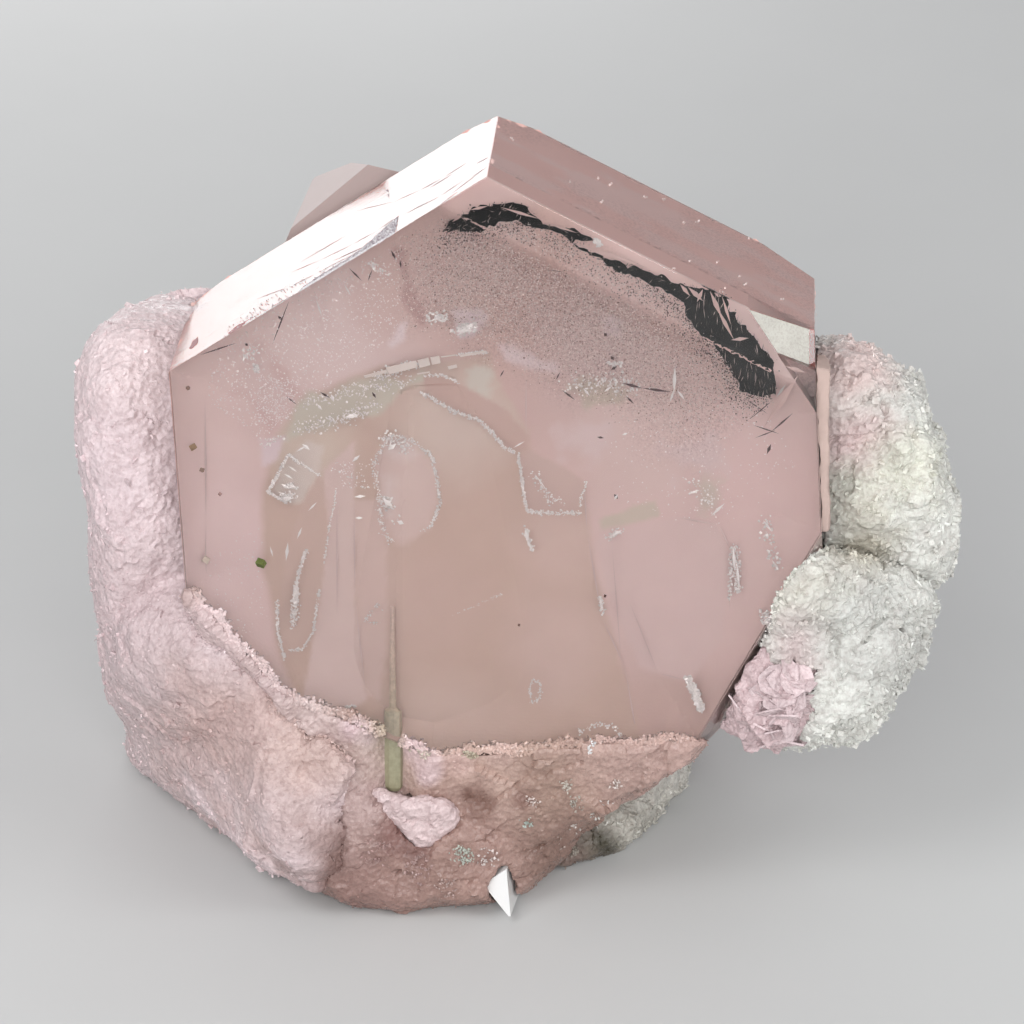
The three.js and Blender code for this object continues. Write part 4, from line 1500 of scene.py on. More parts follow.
def make_slivers(name, starts, ends, shares, widths, colours, finish, form=OCTAHEDRON):
    """Long thin splinters, or bars of another form, between pairs of pixels."""
    low = inside_at(starts, shares)
    high = inside_at(ends, shares)
    lines = high - low
    half = np.linalg.norm(lines, axis=1) / 2
    widths = np.broadcast_to(widths, half.shape)
    sizes = np.stack([half, widths / 2, widths / 16], axis=1)
    return strewn(name, form, (low + high) / 2, turn_along(lines), sizes, colours, finish)


THICK_END = 690  # right of this pixel the film is thick and its fibres stand upright
THIN_END = 600  # left of this one more of them are bright


def make_fibres(finish):
    """Pink and bright fibres that stand in the dark film."""
    rng = np.random.default_rng(8)
    pixels = scattered(DARK_FILM, FIBRES, rng)
    thick = pixels[:, 0] > THICK_END
    lean = np.where(thick, rng.normal(0.05, 0.2, len(pixels)), rng.normal(0.9, 0.6, len(pixels)))
    length = np.where(thick, rng.uniform(2, 13, len(pixels)), rng.uniform(2, 8, len(pixels)))
    reach = np.stack([np.sin(lean) * length, -np.cos(lean) * length], axis=1) / 2
    bright = rng.random(len(pixels)) < np.where(pixels[:, 0] < THIN_END, 0.35, 0.2)
    shade = np.where(bright, rng.uniform(0.4, 0.9, len(pixels)), rng.uniform(0.0, 0.09, len(pixels)))
    colours = np.array(FIBRE_COLOUR) * shade[:, None]
    shares = rng.uniform(*FIBRE_SHARES, len(pixels))
    widths = rng.uniform(0.03, 0.09, len(pixels))
    make_slivers("fibres", pixels - reach, pixels + reach, shares, widths, colours, finish)


def beads(line, spacing, spread, rng):
    """Points strewn along a line of pixels."""
    line = np.asarray(line, float)
    found = []
    for start, end in zip(line, line[1:]):
        count = max(1, round(np.linalg.norm(end - start) / spacing))
        share = rng.random((count, 1))
        found.append(start + (end - start) * share + rng.normal(0, spread, (count, 2)))
    return np.concatenate(found)


BRIGHT_LINES = [  # a line of pixels, the depth, the spacing and spread in pixels, and the grain size
    (OVAL_CRACK[8:] + OVAL_CRACK[:3], 4.0, 0.6, 1.6, 0.08),
    ([(384, 438), (397, 440), (410, 449)], 4.0, 0.3, 4.0, 0.10),
    ([(384, 498), (390, 508)], 4.0, 0.2, 2.5, 0.12), ([(397, 520), (403, 525)], 4.0, 0.2, 2.5, 0.12),
    (OVAL_CRACK[2:9], 4.0, 0.45, 0.9, 0.09),
    ([(287, 457), (268, 492), (287, 503)], 3.6, 0.25, 0.6, 0.10),
    ([(288, 454), (299, 463)], 3.6, 0.3, 0.8, 0.09), ([(301, 463), (320, 476)], 3.6, 0.4, 0.6, 0.08),
    ([(281, 496), (294, 498)], 3.6, 0.2, 2.0, 0.10), ([(287, 484), (295, 488)], 3.6, 0.2, 1.5, 0.10),
    ([(306, 549), (299, 572), (295, 590), (293, 602)], 3.7, 0.25, 0.8, 0.10),
    ([(296, 588), (296, 604)], 3.7, 0.1, 1.0, 0.12), ([(295, 602), (293, 627)], 3.7, 0.3, 2.2, 0.10),
    ([(336, 488), (335, 501), (329, 527), (324, 563)], 3.8, 0.6, 0.5, 0.07),
    ([(319, 590), (315, 620), (313, 633), (302, 649), (290, 650)], 3.8, 0.4, 0.8, 0.08),
    ([(277, 600), (278, 633), (285, 659)], 3.7, 0.35, 0.8, 0.09),
    ([(421, 392), (436, 401), (454, 411), (470, 417), (479, 420)], 3.8, 0.3, 1.0, 0.09),
    ([(479, 420), (494, 435), (504, 447), (515, 453)], 3.8, 0.35, 1.0, 0.09),
    ([(424, 376), (442, 375), (460, 383)], 3.8, 0.5, 0.8, 0.08),
    ([(518, 454), (520, 467), (524, 494), (527, 511)], 3.7, 0.3, 0.8, 0.10),
    ([(527, 511), (545, 513), (581, 513)], 3.7, 0.35, 1.1, 0.09),
    ([(586, 482), (585, 490), (581, 496), (580, 507)], 3.7, 0.5, 0.7, 0.08),
    ([(534, 473), (540, 487), (553, 502), (563, 503)], 3.7, 0.6, 2.5, 0.09),
    ([(525, 528), (529, 540), (531, 549)], 3.7, 0.4, 1.5, 0.11),
    ([(364, 621), (378, 604), (397, 625), (366, 622)], 4.0, 0.7, 1.0, 0.07),
    ([(395, 623), (444, 619), (502, 594)], 4.2, 1.2, 0.6, 0.06),
    ([(529, 690), (533, 679), (540, 684), (540, 698), (532, 703), (529, 690)], 3.0, 0.5, 0.7, 0.08),
    ([(600, 597), (603, 614)], 3.8, 0.4, 1.3, 0.10),
    ([(372, 376), (388, 372), (419, 363)], 3.9, 0.35, 2.5, 0.10),
    ([(456, 355), (486, 352)], 3.9, 0.3, 0.8, 0.10),
    ([(300, 428), (340, 420), (378, 402)], 3.9, 0.35, 4.5, 0.09),
    ([(306, 402), (350, 392), (410, 380)], 3.9, 0.45, 4.5, 0.08),
    ([(338, 468), (352, 480), (370, 488)], 4.0, 1.0, 5.0, 0.09),
    ([(620, 531), (608, 538)], 3.8, 0.25, 2.0, 0.10),
    ([(731, 551), (731, 570), (729, 600)], 3.8, 0.5, 1.2, 0.09),
    ([(735, 546), (738, 592)], 3.8, 0.35, 2.4, 0.10),
    ([(765, 520), (776, 568)], 3.0, 0.8, 4.0, 0.12), ([(766, 614), (778, 636)], 2.5, 0.2, 4.0, 0.17),
    ([(688, 678), (696, 696), (702, 710)], 2.0, 0.15, 1.8, 0.15),
    ([(580, 732), (595, 724), (614, 728), (627, 742)], 1.2, 0.8, 1.5, 0.10),
    ([(254, 348), (246, 358)], 2.8, 0.3, 4.0, 0.11), ([(256, 366), (256, 371)], 2.8, 0.2, 1.5, 0.12),
    ([(369, 262), (387, 274)], 3.0, 0.9, 2.0, 0.12), ([(427, 318), (448, 317)], 3.5, 0.4, 2.5, 0.11),
    ([(459, 330), (473, 327)], 3.5, 0.15, 3.0, 0.13), ([(608, 363), (621, 364)], 3.6, 0.4, 1.0, 0.11),
    ([(594, 240), (601, 245)], 3.4, 0.2, 1.5, 0.12), ([(263, 440), (279, 440)], 3.8, 0.5, 4.0, 0.09),
    ([(570, 386), (600, 380), (640, 388)], 3.8, 0.5, 6.0, 0.10),
    ([(692, 480), (715, 508)], 3.8, 0.6, 5.0, 0.09),
    ([(345, 707), (355, 706)], 3.0, 0.3, 0.8, 0.10),
]


def make_bright_lines(finish):
    """Cracks and outlines that show as lines of bright flakes."""
    rng = np.random.default_rng(9)
    pixels, shares, sizes = [], [], []
    for line, depth, spacing, spread, size in BRIGHT_LINES:
        dots = beads(line, spacing, spread, rng)
        pixels.append(dots)
        shares.append(depth / MILK_DEPTH + rng.normal(0, 0.015, len(dots)))
        sizes.append(size * rng.uniform(0.6, 1.3, len(dots)))
    pixels = np.concatenate(pixels)
    colours = varied(CRACK_COLOUR, len(pixels), 0.85, 1.02, rng, 1)
    make_grains("bright_cracks", pixels, np.concatenate(shares), np.concatenate(sizes), colours, finish, rng)


BRIGHT_BARS = [  # from one pixel to another, and the width in pixels
    ((331, 394), (334, 402), 4.0), ((317, 404), (322, 410), 3.0),
    ((345, 417), (359, 415), 5.0), ((352, 412), (358, 418), 3.0), ((302, 444), (310, 450), 4.0),
    ((296, 452), (306, 446), 2.2), ((288, 454), (299, 463), 1.6), ((301, 463), (318, 475), 1.4),
    ((288, 466), (297, 472), 2.0), ((284, 474), (293, 479), 2.2), ((281, 484), (290, 489), 4.0),
    ((287, 484), (297, 489), 4.5), ((278, 492), (290, 497), 3.0), ((282, 498), (294, 498), 4.5),
    ((317, 502), (308, 511), 2.0), ((302, 527), (297, 539), 2.4), ((288, 542), (286, 561), 3.6),
    ((270, 546), (273, 557), 1.8), ((306, 549), (299, 572), 1.8), ((299, 572), (293, 602), 2.6),
    ((296, 587), (295, 606), 4.0), ((290, 604), (298, 608), 2.0), ((290, 612), (297, 616), 2.0),
    ((290, 620), (296, 623), 2.0), ((354, 497), (366, 496), 3.4), ((355, 518), (363, 518), 3.0),
    ((352, 462), (360, 455), 3.4), ((388, 450), (396, 444), 5.0), ((383, 499), (393, 507), 6.0),
    ((397, 521), (404, 524), 5.0), ((344, 708), (356, 705), 2.0), ((316, 716), (318, 731), 4.0),
    ((586, 748), (598, 745), 4.0), ((513, 448), (525, 441), 1.6), ((675, 366), (674, 394), 3.6),
    ((674, 390), (670, 402), 2.6), ((677, 390), (685, 400), 2.6), ((733, 546), (735, 572), 3.4),
    ((737, 560), (739, 594), 3.0), ((767, 614), (776, 636), 5.0), ((254, 367), (259, 371), 7.0),
    ((459, 332), (474, 325), 6.0), ((428, 322), (448, 314), 2.6), ((438, 320), (446, 322), 3.0),
    ((596, 239), (601, 245), 6.0), ((534, 473), (548, 492), 1.4), ((525, 530), (528, 541), 5.0),
    ((527, 540), (531, 549), 3.0), ((622, 435), (628, 433), 2.6), ((605, 363), (621, 365), 2.4),
    ((583, 388), (590, 396), 2.6), ((604, 392), (612, 386), 2.4), ((688, 494), (700, 490), 2.6),
    ((711, 516), (725, 503), 3.0), ((763, 520), (772, 532), 2.6), ((772, 560), (778, 570), 3.0),
    ((786, 384), (776, 398), 2.6), ((316, 299), (322, 317), 2.2), ((344, 284), (351, 296), 1.8),
    ((612, 536), (622, 530), 3.4), ((618, 494), (614, 500), 2.6), ((599, 598), (604, 612), 2.2),
]
LADDER = [  # a row of flat blocks
    ((364, 377), (387, 371), 3.0), ((387, 371), (417, 364), 7.5), ((418.5, 364), (429.5, 361.5), 8.5),
    ((431, 361), (440, 359.5), 8.0), ((448, 368), (457, 366), 3.6), ((460, 356), (486, 351.5), 2.4),
    ((417, 374), (430, 372), 1.6), ((441, 357), (455, 355), 1.4),
]
DARK_BARS = [
    ((289, 301), (272, 345), 1.5), ((349, 268), (362, 281), 1.8), ((372, 270), (368, 281), 1.5),
    ((391, 250), (396, 260), 2.4), ((400, 260), (401, 268), 2.0),
    ((286, 396), (297, 405), 1.5), ((771, 432), (793, 413), 2.0), ((771, 444), (767, 454), 3.4),
    ((744, 398), (768, 414), 1.2), ((773, 400), (750, 419), 1.2), ((753, 425), (780, 434), 1.4),
    ((755, 438), (776, 430), 1.2), ((597, 437), (604, 438), 2.4), ((614, 494), (618, 499), 3.6),
    ((611, 370), (617, 366), 3.0), ((604, 333), (607, 336), 3.6), ((611, 356), (614, 360), 3.6),
    ((560, 372), (556, 380), 1.5), ((504, 370), (500, 377), 1.5), ((622, 383), (642, 388), 3.0),
    ((642, 388), (671, 392), 3.0), ((548, 270), (590, 275), 1.2), ((278, 316), (282, 320), 3.0),
    ((245, 343), (248, 346), 3.0), ((200, 355), (236, 343), 1.6), ((562, 390), (575, 400), 2.0),
    ((626, 396), (634, 404), 2.0), ((320, 392), (330, 398), 2.4), ((372, 392), (376, 398), 2.6),
]
FAINT_BARS = [
    ((205, 400), (206, 520), 2.0), ((206, 520), (205, 640), 2.0), ((526, 373), (526, 437), 1.4),
    ((584, 482), (587, 532), 1.6), ((587, 532), (602, 618), 1.6), ((602, 618), (625, 667), 1.6),
    ((625, 667), (639, 749), 1.6), ((612, 544), (621, 660), 1.4), ((629, 601), (658, 673), 1.4),
    ((658, 673), (685, 680), 1.4), ((675, 517), (719, 525), 1.8), ((719, 525), (731, 551), 1.8),
    ((731, 551), (729, 614), 1.8), ((337, 500), (337, 620), 1.6), ((354, 500), (355, 600), 1.6),
    ((355, 600), (366, 696), 1.6), ((387, 545), (388, 620), 1.6), ((466, 680), (462, 700), 2.0),
]
BAR_SHARE = 0.74
PINK_SPLINTERS = [  # clear splinters that cross the dark film
    ((572, 243), (648, 268), 6), ((688, 287), (703, 301), 5), ((703, 289), (697, 302), 4),
    ((710, 291), (722, 318), 5), ((716, 306), (734, 340), 4), ((722, 296), (731, 325), 3),
    ((731, 340), (749, 338), 4), ((680, 284), (690, 296), 4), ((799, 374), (764, 427), 8),
    ((785, 366), (806, 373), 5), ((500, 207), (540, 219), 3), ((470, 210), (488, 206), 3),
    ((545, 222), (577, 233), 3), ((452, 222), (463, 214), 3),
]


def make_bars(name, bars, colour, finish, seed, share=BAR_SHARE, form=OCTAHEDRON):
    """Straight bars of one colour, at about that share of the depth."""
    rng = np.random.default_rng(seed)
    starts = [start for start, _, _ in bars]
    ends = [end for _, end, _ in bars]
    widths = np.array([width for _, _, width in bars]) * PIXEL_SIZE
    shares = rng.uniform(share - 0.05, share + 0.05, len(bars))
    make_slivers(name, starts, ends, shares, widths, colour, finish, form)


GRAINS = [  # where each shows, its radius in pixels and its colour
    ((261, 563), 4.2, (108, 124, 44)), ((193, 447), 2.8, (156, 128, 98)),
    ((202, 470), 2.2, (150, 122, 108)), ((188, 388), 1.6, (150, 118, 104)),
    ((206, 560), 3.6, (202, 186, 172)), ((220, 494), 1.6, (160, 126, 120)),
    ((519, 625), 1.2, (130, 96, 84)), ((605, 596), 1.2, (110, 70, 60)),
]


def make_coloured_grains(finish):
    """Single grains of other minerals."""
    rng = np.random.default_rng(19)
    places = [place for place, _, _ in GRAINS]
    sizes = np.array([radius for _, radius, _ in GRAINS]) * PIXEL_SIZE
    colours = 1.3 * np.array([screen(*colour) for _, _, colour in GRAINS])
    turns = random_turns(len(GRAINS), rng)
    sizes = sizes[:, None] * rng.uniform(0.8, 1.1, (len(GRAINS), 3))
    return strewn("coloured_grains", BLOCK, inside_at(places, 0.6), turns, sizes, colours, finish)


def make_dark_film():
    """The dark crescent."""
    flat, triangles = filled(DARK_FILM, 2.5, 3.0, 1)
    mesh = sheet_mesh("dark_film", inside_at(flat, DARK_SHARE), triangles, DARK_SHEET)
    paint(mesh, "tint", np.tile(DARK_COLOUR, (len(mesh.vertices), 1)))
    return finish_piece(add_object("dark_film", mesh), speck_finish("dark_film"))


def make_inclusions():
    """All that lies in the clear skin."""
    glint = glint_finish()
    speck = speck_finish("speck")
    make_dark_film()
    make_grit(glint, speck)
    make_dust(glint)
    make_fibres(speck)
    make_bright_lines(glint)
    make_bars("bright_bars", BRIGHT_BARS, BRIGHT_BAR_COLOUR, glint, 11)
    make_bars("ladder", LADDER, heart_paint(screen(212, 203, 192)), speck, 16, form=BLOCK)
    make_coloured_grains(speck)
    make_bars("dark_bars", DARK_BARS, DARK_BAR_COLOUR, speck, 12)
    make_bars("faint_bars", FAINT_BARS, FAINT_BAR_COLOUR, speck, 14, share=0.9)
    make_bars("pink_splinters", PINK_SPLINTERS, SPLINTER_COLOUR, speck, 13, share=0.62)


# ---- the matrix ----------------------------------------------------------------------------------


def roughen(mesh, grains, swell, seed):
    """Moves the surface out and in: grains lists the size of crystal grains and their relief."""
    points = positions(mesh) / MM
    shift = np.full(len(points), float(swell))
    for k, (size, relief) in enumerate(grains):
        bend = 0.25 * np.stack([waves(points, size, seed + 50 + j, 2) for j in range(3)], axis=1)
        shift += relief * facets(points + size * bend, size, seed + 7 * k)
        shift += 0.4 * relief * waves(points, size, seed + 5 + k, 3)
    settle(mesh, points + vertex_normals(mesh) * shift[:, None])


def paint_surface(mesh, base, spots, seed):
    """Colours for an outer surface, with soft spots placed by where they show; some spots are painted shade.
    """
    points = positions(mesh) / MM
    seen_at = pixels_of(points * MM)
    uneven = waves(points, 5.0, seed)
    colours = spotted(base, seen_at, spots, 0.35 * uneven)
    paint(mesh, "tint", np.clip(SURFACE_GAIN * colours * (1 + 0.05 * uneven[:, None]), 0, 0.95))


CLEARANCE = 0.1  # from the crystal to the rough masses
SHOULDER = -38  # left of this point the matrix may rise above the upper left face
SHOULDER_END = -52
SHOULDER_SLOPE = 0.85


def keep_clear(mesh):
    """Moves a rough surface out of the crystal, and down from its bright upper left face."""
    points = to_crystal(positions(mesh))
    normals = np.array([normal for normal, _ in MORGANITE_FACES])
    distances = np.array([distance for _, distance in MORGANITE_FACES]) + CLEARANCE
    height = points @ normals.T - distances
    nearest = height.argmax(axis=1)
    depth = np.minimum(height.max(axis=1), 0)
    points -= depth[:, None] * normals[nearest]
    normal, distance = SIDE_FACES[2]
    room = SHOULDER_SLOPE * np.maximum(SHOULDER - points[:, 0], 0) - 0.3 + 0.25 * waves(points, 2.0, 18, 3)
    above = points @ normal - distance - room
    near = (points[:, 0] > SHOULDER_END) & (points[:, 0] < 0) & (points[:, 2] > -THICKNESS - 1) & (above > 0)
    points -= np.where(near, above, 0)[:, None] * normal
    settle(mesh, to_row(points) / MM)


def make_rough_mass(node, finish, voxel, grains, swell, seed, base, spots=()):
    """A CAD node's form with a rough, painted surface."""
    mesh = remeshed(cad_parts[node].data.copy(), voxel)
    roughen(mesh, grains, swell, seed)
    keep_clear(mesh)
    paint_surface(mesh, base, spots, seed + 9)
    return finish_piece(add_object(node + "_mass", mesh), finish, [node])


def strew(thing, name, count, low, high, shape, finish, seed, form=BLADE):
    """Small crystals grown on a rough surface, in its colours. low and high are their sizes in
    millimetres."""
    rng = np.random.default_rng(seed)
    points = to_crystal(positions(thing.data))
    chosen = rng.choice(len(points), count, replace=False)
    sizes = rng.uniform(low, high, (count, 1)) * rng.uniform(0.6, 1.0, (count, 3)) * shape
    colours = varied(point_colours(thing.data)[chosen], count, 0.95, 1.2, rng, 0.97)
    turns = random_turns(count, rng)
    places = points[chosen] + rng.normal(0, 0.1, (count, 3))
    return strewn(name, form, places, turns, sizes, colours, finish)


LILAC = screen(224, 206, 208)
# Spots on the lepidolite. The upper ones are its own tone. Those from (120, 630) down grow darker towards the
# bottom as painted shade, because the surface there faces down. At the very bottom they are nearly brown, as
# painted shadow.
LILAC_AND_SHADE_SPOTS = [
    ((150, 330), 60, (231, 213, 214)),
    ((110, 480), 60, (220, 202, 205)),
    ((120, 630), 80, (210, 191, 193)),
    ((190, 720), 80, (199, 180, 180)),
    ((250, 730), 70, (191, 166, 162)),
    ((300, 800), 60, (196, 175, 173)),
    ((345, 855), 50, (156, 129, 123)),
    ((400, 885), 80, (112, 84, 78)),
    ((320, 740), 50, (193, 169, 163)),
]
ALBITE_WHITE = screen(216, 217, 211)
ALBITE_AND_SHADE_SPOTS = [
    ((850, 375), 50, (222, 204, 200)),
    ((862, 450), 42, (218, 198, 196)),
    ((845, 505), 34, (206, 206, 196)),
    ((905, 470), 40, (217, 218, 206)),
    # Painted shade: the crevice under the upper lobe, darker and a little yellower.
    ((865, 545), 30, (204, 200, 186)),
    ((820, 605), 40, (204, 202, 192)),
    ((800, 650), 30, (204, 190, 188)),
    ((880, 640), 60, (200, 201, 196)),
]
FOOT_SPOTS = [
    ((590, 848), 26, (112, 102, 92)), ((606, 842), 13, (78, 74, 62)), ((570, 858), 14, (126, 108, 100)),
    ((640, 815), 28, (180, 177, 168)), ((655, 790), 24, (200, 197, 189)), ((672, 768), 18, (212, 210, 203)),
]
FOOT_GREY = screen(196, 193, 184)
PALE_MICA = screen(214, 194, 194)


def make_matrix(broken_end):
    """The masses round the crystal, and the small crystals that cover them and the broken end."""
    lilac = sugary_finish("lepidolite")
    white = sugary_finish("albite", shine=(0.15, 0.6))
    matrix = make_rough_mass(
        "lepidolite_matrix", lilac, MATRIX_VOXEL, SUGARY_GRAINS, 0.1, 60, LILAC, LILAC_AND_SHADE_SPOTS
    )
    albite = make_rough_mass(
        "albite_mass", white, ALBITE_VOXEL, KNOBBLY_GRAINS, 0.1, 70, ALBITE_WHITE, ALBITE_AND_SHADE_SPOTS
    )
    foot = make_rough_mass(
        "albite_foot", white, FOOT_VOXEL, FOOT_GRAINS, 0.0, 80, FOOT_GREY, FOOT_SPOTS
    )
    make_rough_mass("mica_patch", lilac, PATCH_VOXEL, PATCH_GRAINS, 0.0, 90, PALE_MICA)
    sparkle = sparkle_finish()
    strew(matrix, "lepidolite_scales", LEPIDOLITE_SCALES, 0.08, 0.34, SCALE_SHAPE, sparkle, 61)
    strew(
        matrix, "lepidolite_plates", LEPIDOLITE_PLATES, 0.25, 0.6, PLATE_SHAPE, lilac, 62, BLOCK
    )
    strew(albite, "albite_blades", ALBITE_BLADES, 0.15, 0.6, BLADE_SHAPE, sparkle, 71)
    strew(albite, "albite_blocks", ALBITE_BLOCKS, 0.2, 0.55, BLOCK_SHAPE, white, 72, BLOCK)
    strew(broken_end, "broken_scales", BROKEN_SCALES, 0.06, 0.26, SCALE_SHAPE, sparkle, 64)
    make_clusters(broken_end, sparkle)
    make_crust("albite_crust", albite, sparkle, 73)
    make_crust("lepidolite_crust", matrix, sparkle, 66)
    strew(foot, "foot_blades", FOOT_BLADES, 0.2, 0.7, BLADE_SHAPE, sparkle, 81)
    return matrix


CRUST_GAP = 0.5  # between the mass and the crystal, at most
CRUST_DEPTH = 7  # behind the front face


def make_crust(name, thing, finish, seed):
    """Grains that close the seam between a matrix mass and the crystal's side."""
    normals = np.array([normal for normal, _ in MORGANITE_FACES])
    distances = np.array([distance for _, distance in MORGANITE_FACES])
    points = to_crystal(positions(thing.data))
    gap = (points @ normals.T - distances).max(axis=1)
    seam = np.flatnonzero((gap < CRUST_GAP) & (points[:, 2] > -CRUST_DEPTH))
    rng = np.random.default_rng(seed)
    count = CRUST_GRAINS
    chosen = rng.choice(seam, count)
    places = points[chosen] + rng.normal(0, 0.12, (count, 3))
    colours = varied(point_colours(thing.data)[chosen], count, 0.95, 1.2, rng)
    sizes = rng.uniform(0.1, 0.32, (count, 3))
    turns = random_turns(count, rng)
    return strewn(name, OCTAHEDRON, places, turns, sizes, colours, finish)


SIDE_STRIP = [(811, 366), (829, 370), (829, 533), (819, 533)]
STRIP_FRONT = 0.6  # behind the front face
STRIP_DEPTH = 5


def make_side_strip():
    """The narrow pale layer between the crystal's right side and the albite."""
    front = on_face(SIDE_STRIP, face_at((0, 0, 1), -STRIP_FRONT))
    points = np.concatenate([front, front - (0, 0, STRIP_DEPTH)])
    mesh = remeshed(hull_mesh("strip", points), STRIP_VOXEL)
    points = to_crystal(positions(mesh))
    normal, distance = SIDE_FACES[0]
    points += np.maximum(distance + 0.05 - points @ normal, 0)[:, None] * normal
    points += 0.25 * waves(points, 2.0, 37, 3)[:, None] * (1, 0, 0.6)
    set_positions(mesh, to_row(points))
    streaks = 0.08 * waves(points * (3, 0.3, 3), 1.0, 34, 3)[:, None]
    paint(mesh, "tint", screen(190, 168, 160) * (1 + streaks))
    paint(mesh, "grit", np.zeros(len(points)))
    return finish_piece(add_object("side_strip", mesh), milk_finish("side_strip"))


def make_clusters(thing, finish):
    """Groups of small crystals on the front of a rough surface."""
    rng = np.random.default_rng(65)
    surface = positions(thing.data)
    seen_at = pixels_of(surface)
    in_front = vertex_normals(thing.data)[:, 1] < 0
    places, colours = [], []
    for centre, reach, count, colour in CLUSTERS:
        near = np.flatnonzero(in_front & (np.linalg.norm(seen_at - centre, axis=1) < reach))
        places.append(to_crystal(surface[rng.choice(near, count)]))
        colours.append(varied(SURFACE_GAIN * screen(*colour), count, 0.75, 1.1, rng))
    places = np.concatenate(places)
    places += rng.normal(0, 0.25, places.shape)
    sizes = rng.uniform(0.05, 0.24, (len(places), 3))
    turns = random_turns(len(places), rng)
    return strewn("clusters", OCTAHEDRON, places, turns, sizes, np.concatenate(colours), finish)


# ---- the rosette of lepidolite -------------------------------------------------------------------


FLAKE_CORNERS = 9
FLAKE_THICKNESS = 0.22
FLAKE_COLOUR = screen(222, 203, 205)


def flake_points(middle, half, rng):
    """The rim of a curved flake that spreads from a heart, and its centre."""
    out = rng.normal(size=3)
    out[1] = -abs(out[1]) - 0.4
    out /= np.linalg.norm(out)
    side = np.cross(out, rng.normal(size=3))
    side /= np.linalg.norm(side)
    across = np.cross(out, side)
    reach = rng.uniform(1.8, 3.4)
    centre = middle + out * half * rng.uniform(0.4, 0.68)
    rim = []
    for k in range(FLAKE_CORNERS):
        angle = 2 * math.pi * k / FLAKE_CORNERS
        radius = reach * rng.uniform(0.75, 1.05)
        lift = 0.35 * reach * math.cos(angle) ** 2
        around = math.cos(angle) * side + 0.8 * math.sin(angle) * across
        rim.append(centre + radius * around + lift * out)
    return [*rim, centre]


def make_rosette_flakes(finish):
    """Curved flakes that spread from a heart, inside the CAD node's box."""
    rng = np.random.default_rng(22)
    low, high = (np.array(corner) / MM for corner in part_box("lepidolite_rosette"))
    points, faces, colours = [], [], []
    for _ in range(ROSETTE_FLAKES):
        first = len(points)
        last = first + FLAKE_CORNERS
        points.extend(flake_points((low + high) / 2, (high - low) / 2, rng))
        faces.extend((k, k + 1 if k + 1 < last else first, last) for k in range(first, last))
        colours.extend([FLAKE_COLOUR * rng.uniform(0.85, 1.1)] * (FLAKE_CORNERS + 1))
    mesh = bpy.data.meshes.new("flakes")
    mesh.from_pydata((np.clip(points, low, high) * MM).tolist(), [], faces)
    paint(mesh, "tint", np.clip(colours, 0, 0.95))
    mesh = thickened(mesh, "rosette_flakes", FLAKE_THICKNESS)
    return finish_piece(add_object("rosette_flakes", mesh), finish)


def make_rosette():
    """A rough core in the CAD node's form, and the flakes on it."""
    core = remeshed(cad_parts["lepidolite_rosette"].data.copy(), ROSETTE_VOXEL)
    roughen(core, ROSETTE_GRAINS, -0.3, 95)
    paint_surface(core, screen(206, 184, 186), [], 96)
    finish = sugary_finish("rosette", grain=0.5, shine=(0.15, 0.5))
    finish_piece(add_object("rosette_core", core), finish, ["lepidolite_rosette"])
    make_rosette_flakes(finish)


# ---- stage ---------------------------------------------------------------------------------------


def dress_node(name, material):
    """Gives a CAD node a material and leaves its form as it is."""
    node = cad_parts[name]
    node.data.materials.clear()
    node.data.materials.append(material)


FLOOR_SIZE = 3.0  # metres
FLOOR_GAP = 0.0001  # metres under the part


def make_floor():
    """The floor that the part stands on."""
    made = bmesh.new()
    bmesh.ops.create_grid(made, x_segments=8, y_segments=8, size=FLOOR_SIZE)
    mesh = bpy.data.meshes.new("floor")
    made.to_mesh(mesh)
    made.free()
    floor = add_object("floor", mesh)
    floor.location.z = -FLOOR_GAP
    mesh.materials.append(floor_finish())


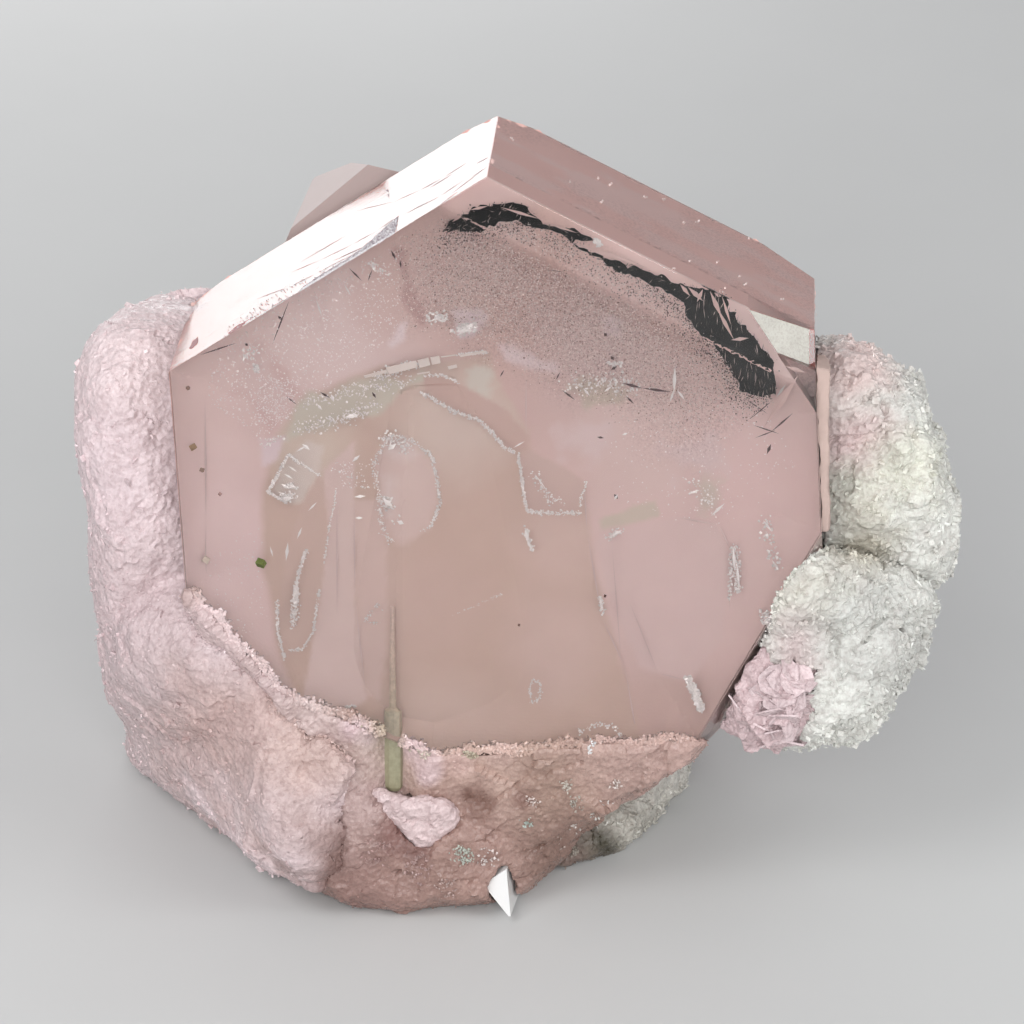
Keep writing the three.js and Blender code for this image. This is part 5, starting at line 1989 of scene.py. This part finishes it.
def area_light(name, centre, target, width, height, radiance):
    """A soft panel that looks at a target; radiance is how bright it shows."""
    data = bpy.data.lights.new(name, "AREA")
    data.shape = "RECTANGLE"
    data.size = width * MM
    data.size_y = height * MM
    data.energy = radiance * math.pi * data.size * data.size_y
    light = bpy.data.objects.new(name, data)
    light.location = np.array(centre) * MM
    towards = Vector(target) - Vector(centre)
    light.rotation_euler = towards.to_track_quat("-Z", "Y").to_euler()
    light.visible_camera = False
    bpy.context.scene.collection.objects.link(light)


def make_lights():
    """Five soft panels and a dim, even world."""
    heart = tuple(TARGET)
    area_light("key", (-250, -260, 420), heart, 260, 260, 4.0)
    area_light("fill", (380, -240, 300), heart, 240, 240, 2.6)
    area_light("front", (-30, -620, 330), heart, 480, 320, 5.4)
    area_light("back_left", (-130, 380, 80), (-130, 0, 80), 360, 260, 2.6)
    area_light("bevel", (470, -120, 210), tuple(to_row((33, 24, -2)) / MM), 130, 130, 6.0)
    world = bpy.data.worlds.new("world")
    world.use_nodes = True
    background = world.node_tree.nodes["Background"]
    background.inputs["Color"].default_value = (0.95, 0.97, 1.0, 1)
    background.inputs["Strength"].default_value = 0.4
    bpy.context.scene.world = world


def set_up_look():
    """How colours are shown, and how far light is followed."""
    scene = bpy.context.scene
    scene.view_settings.view_transform = "Standard"
    scene.view_settings.look = "None"
    scene.cycles.max_bounces = 6
    scene.cycles.transmission_bounces = 6
    scene.cycles.glossy_bounces = 2
    scene.cycles.diffuse_bounces = 2
    scene.cycles.transparent_max_bounces = 8
    scene.cycles.sample_clamp_indirect = 6
    scene.cycles.use_denoising = True


# ---- assembly ------------------------------------------------------------------------------------

make_camera()
set_up_look()
make_floor()
make_lights()

make_crystal()
broken_end = make_broken_end()
make_ragged_edge()
make_needle()
milk = milk_finish("milky_heart")
make_milky_heart(milk)
make_front_cloud(milk)
make_core()
make_inclusions()
make_face_marks()
make_side_strip()
matrix = make_matrix(broken_end)
make_seam("matrix_seam", matrix, broken_end, sparkle_finish(), 63)
make_rosette()
dress_node("quartz_point", clear_finish("quartz_point", (0.97, 0.96, 0.95), 0.1, 0.15, 0.5))
dress_node("rear_beryl_crystal", clear_finish("rear_beryl", (0.74, 0.58, 0.55), 0.4, 0.45, 0.2))
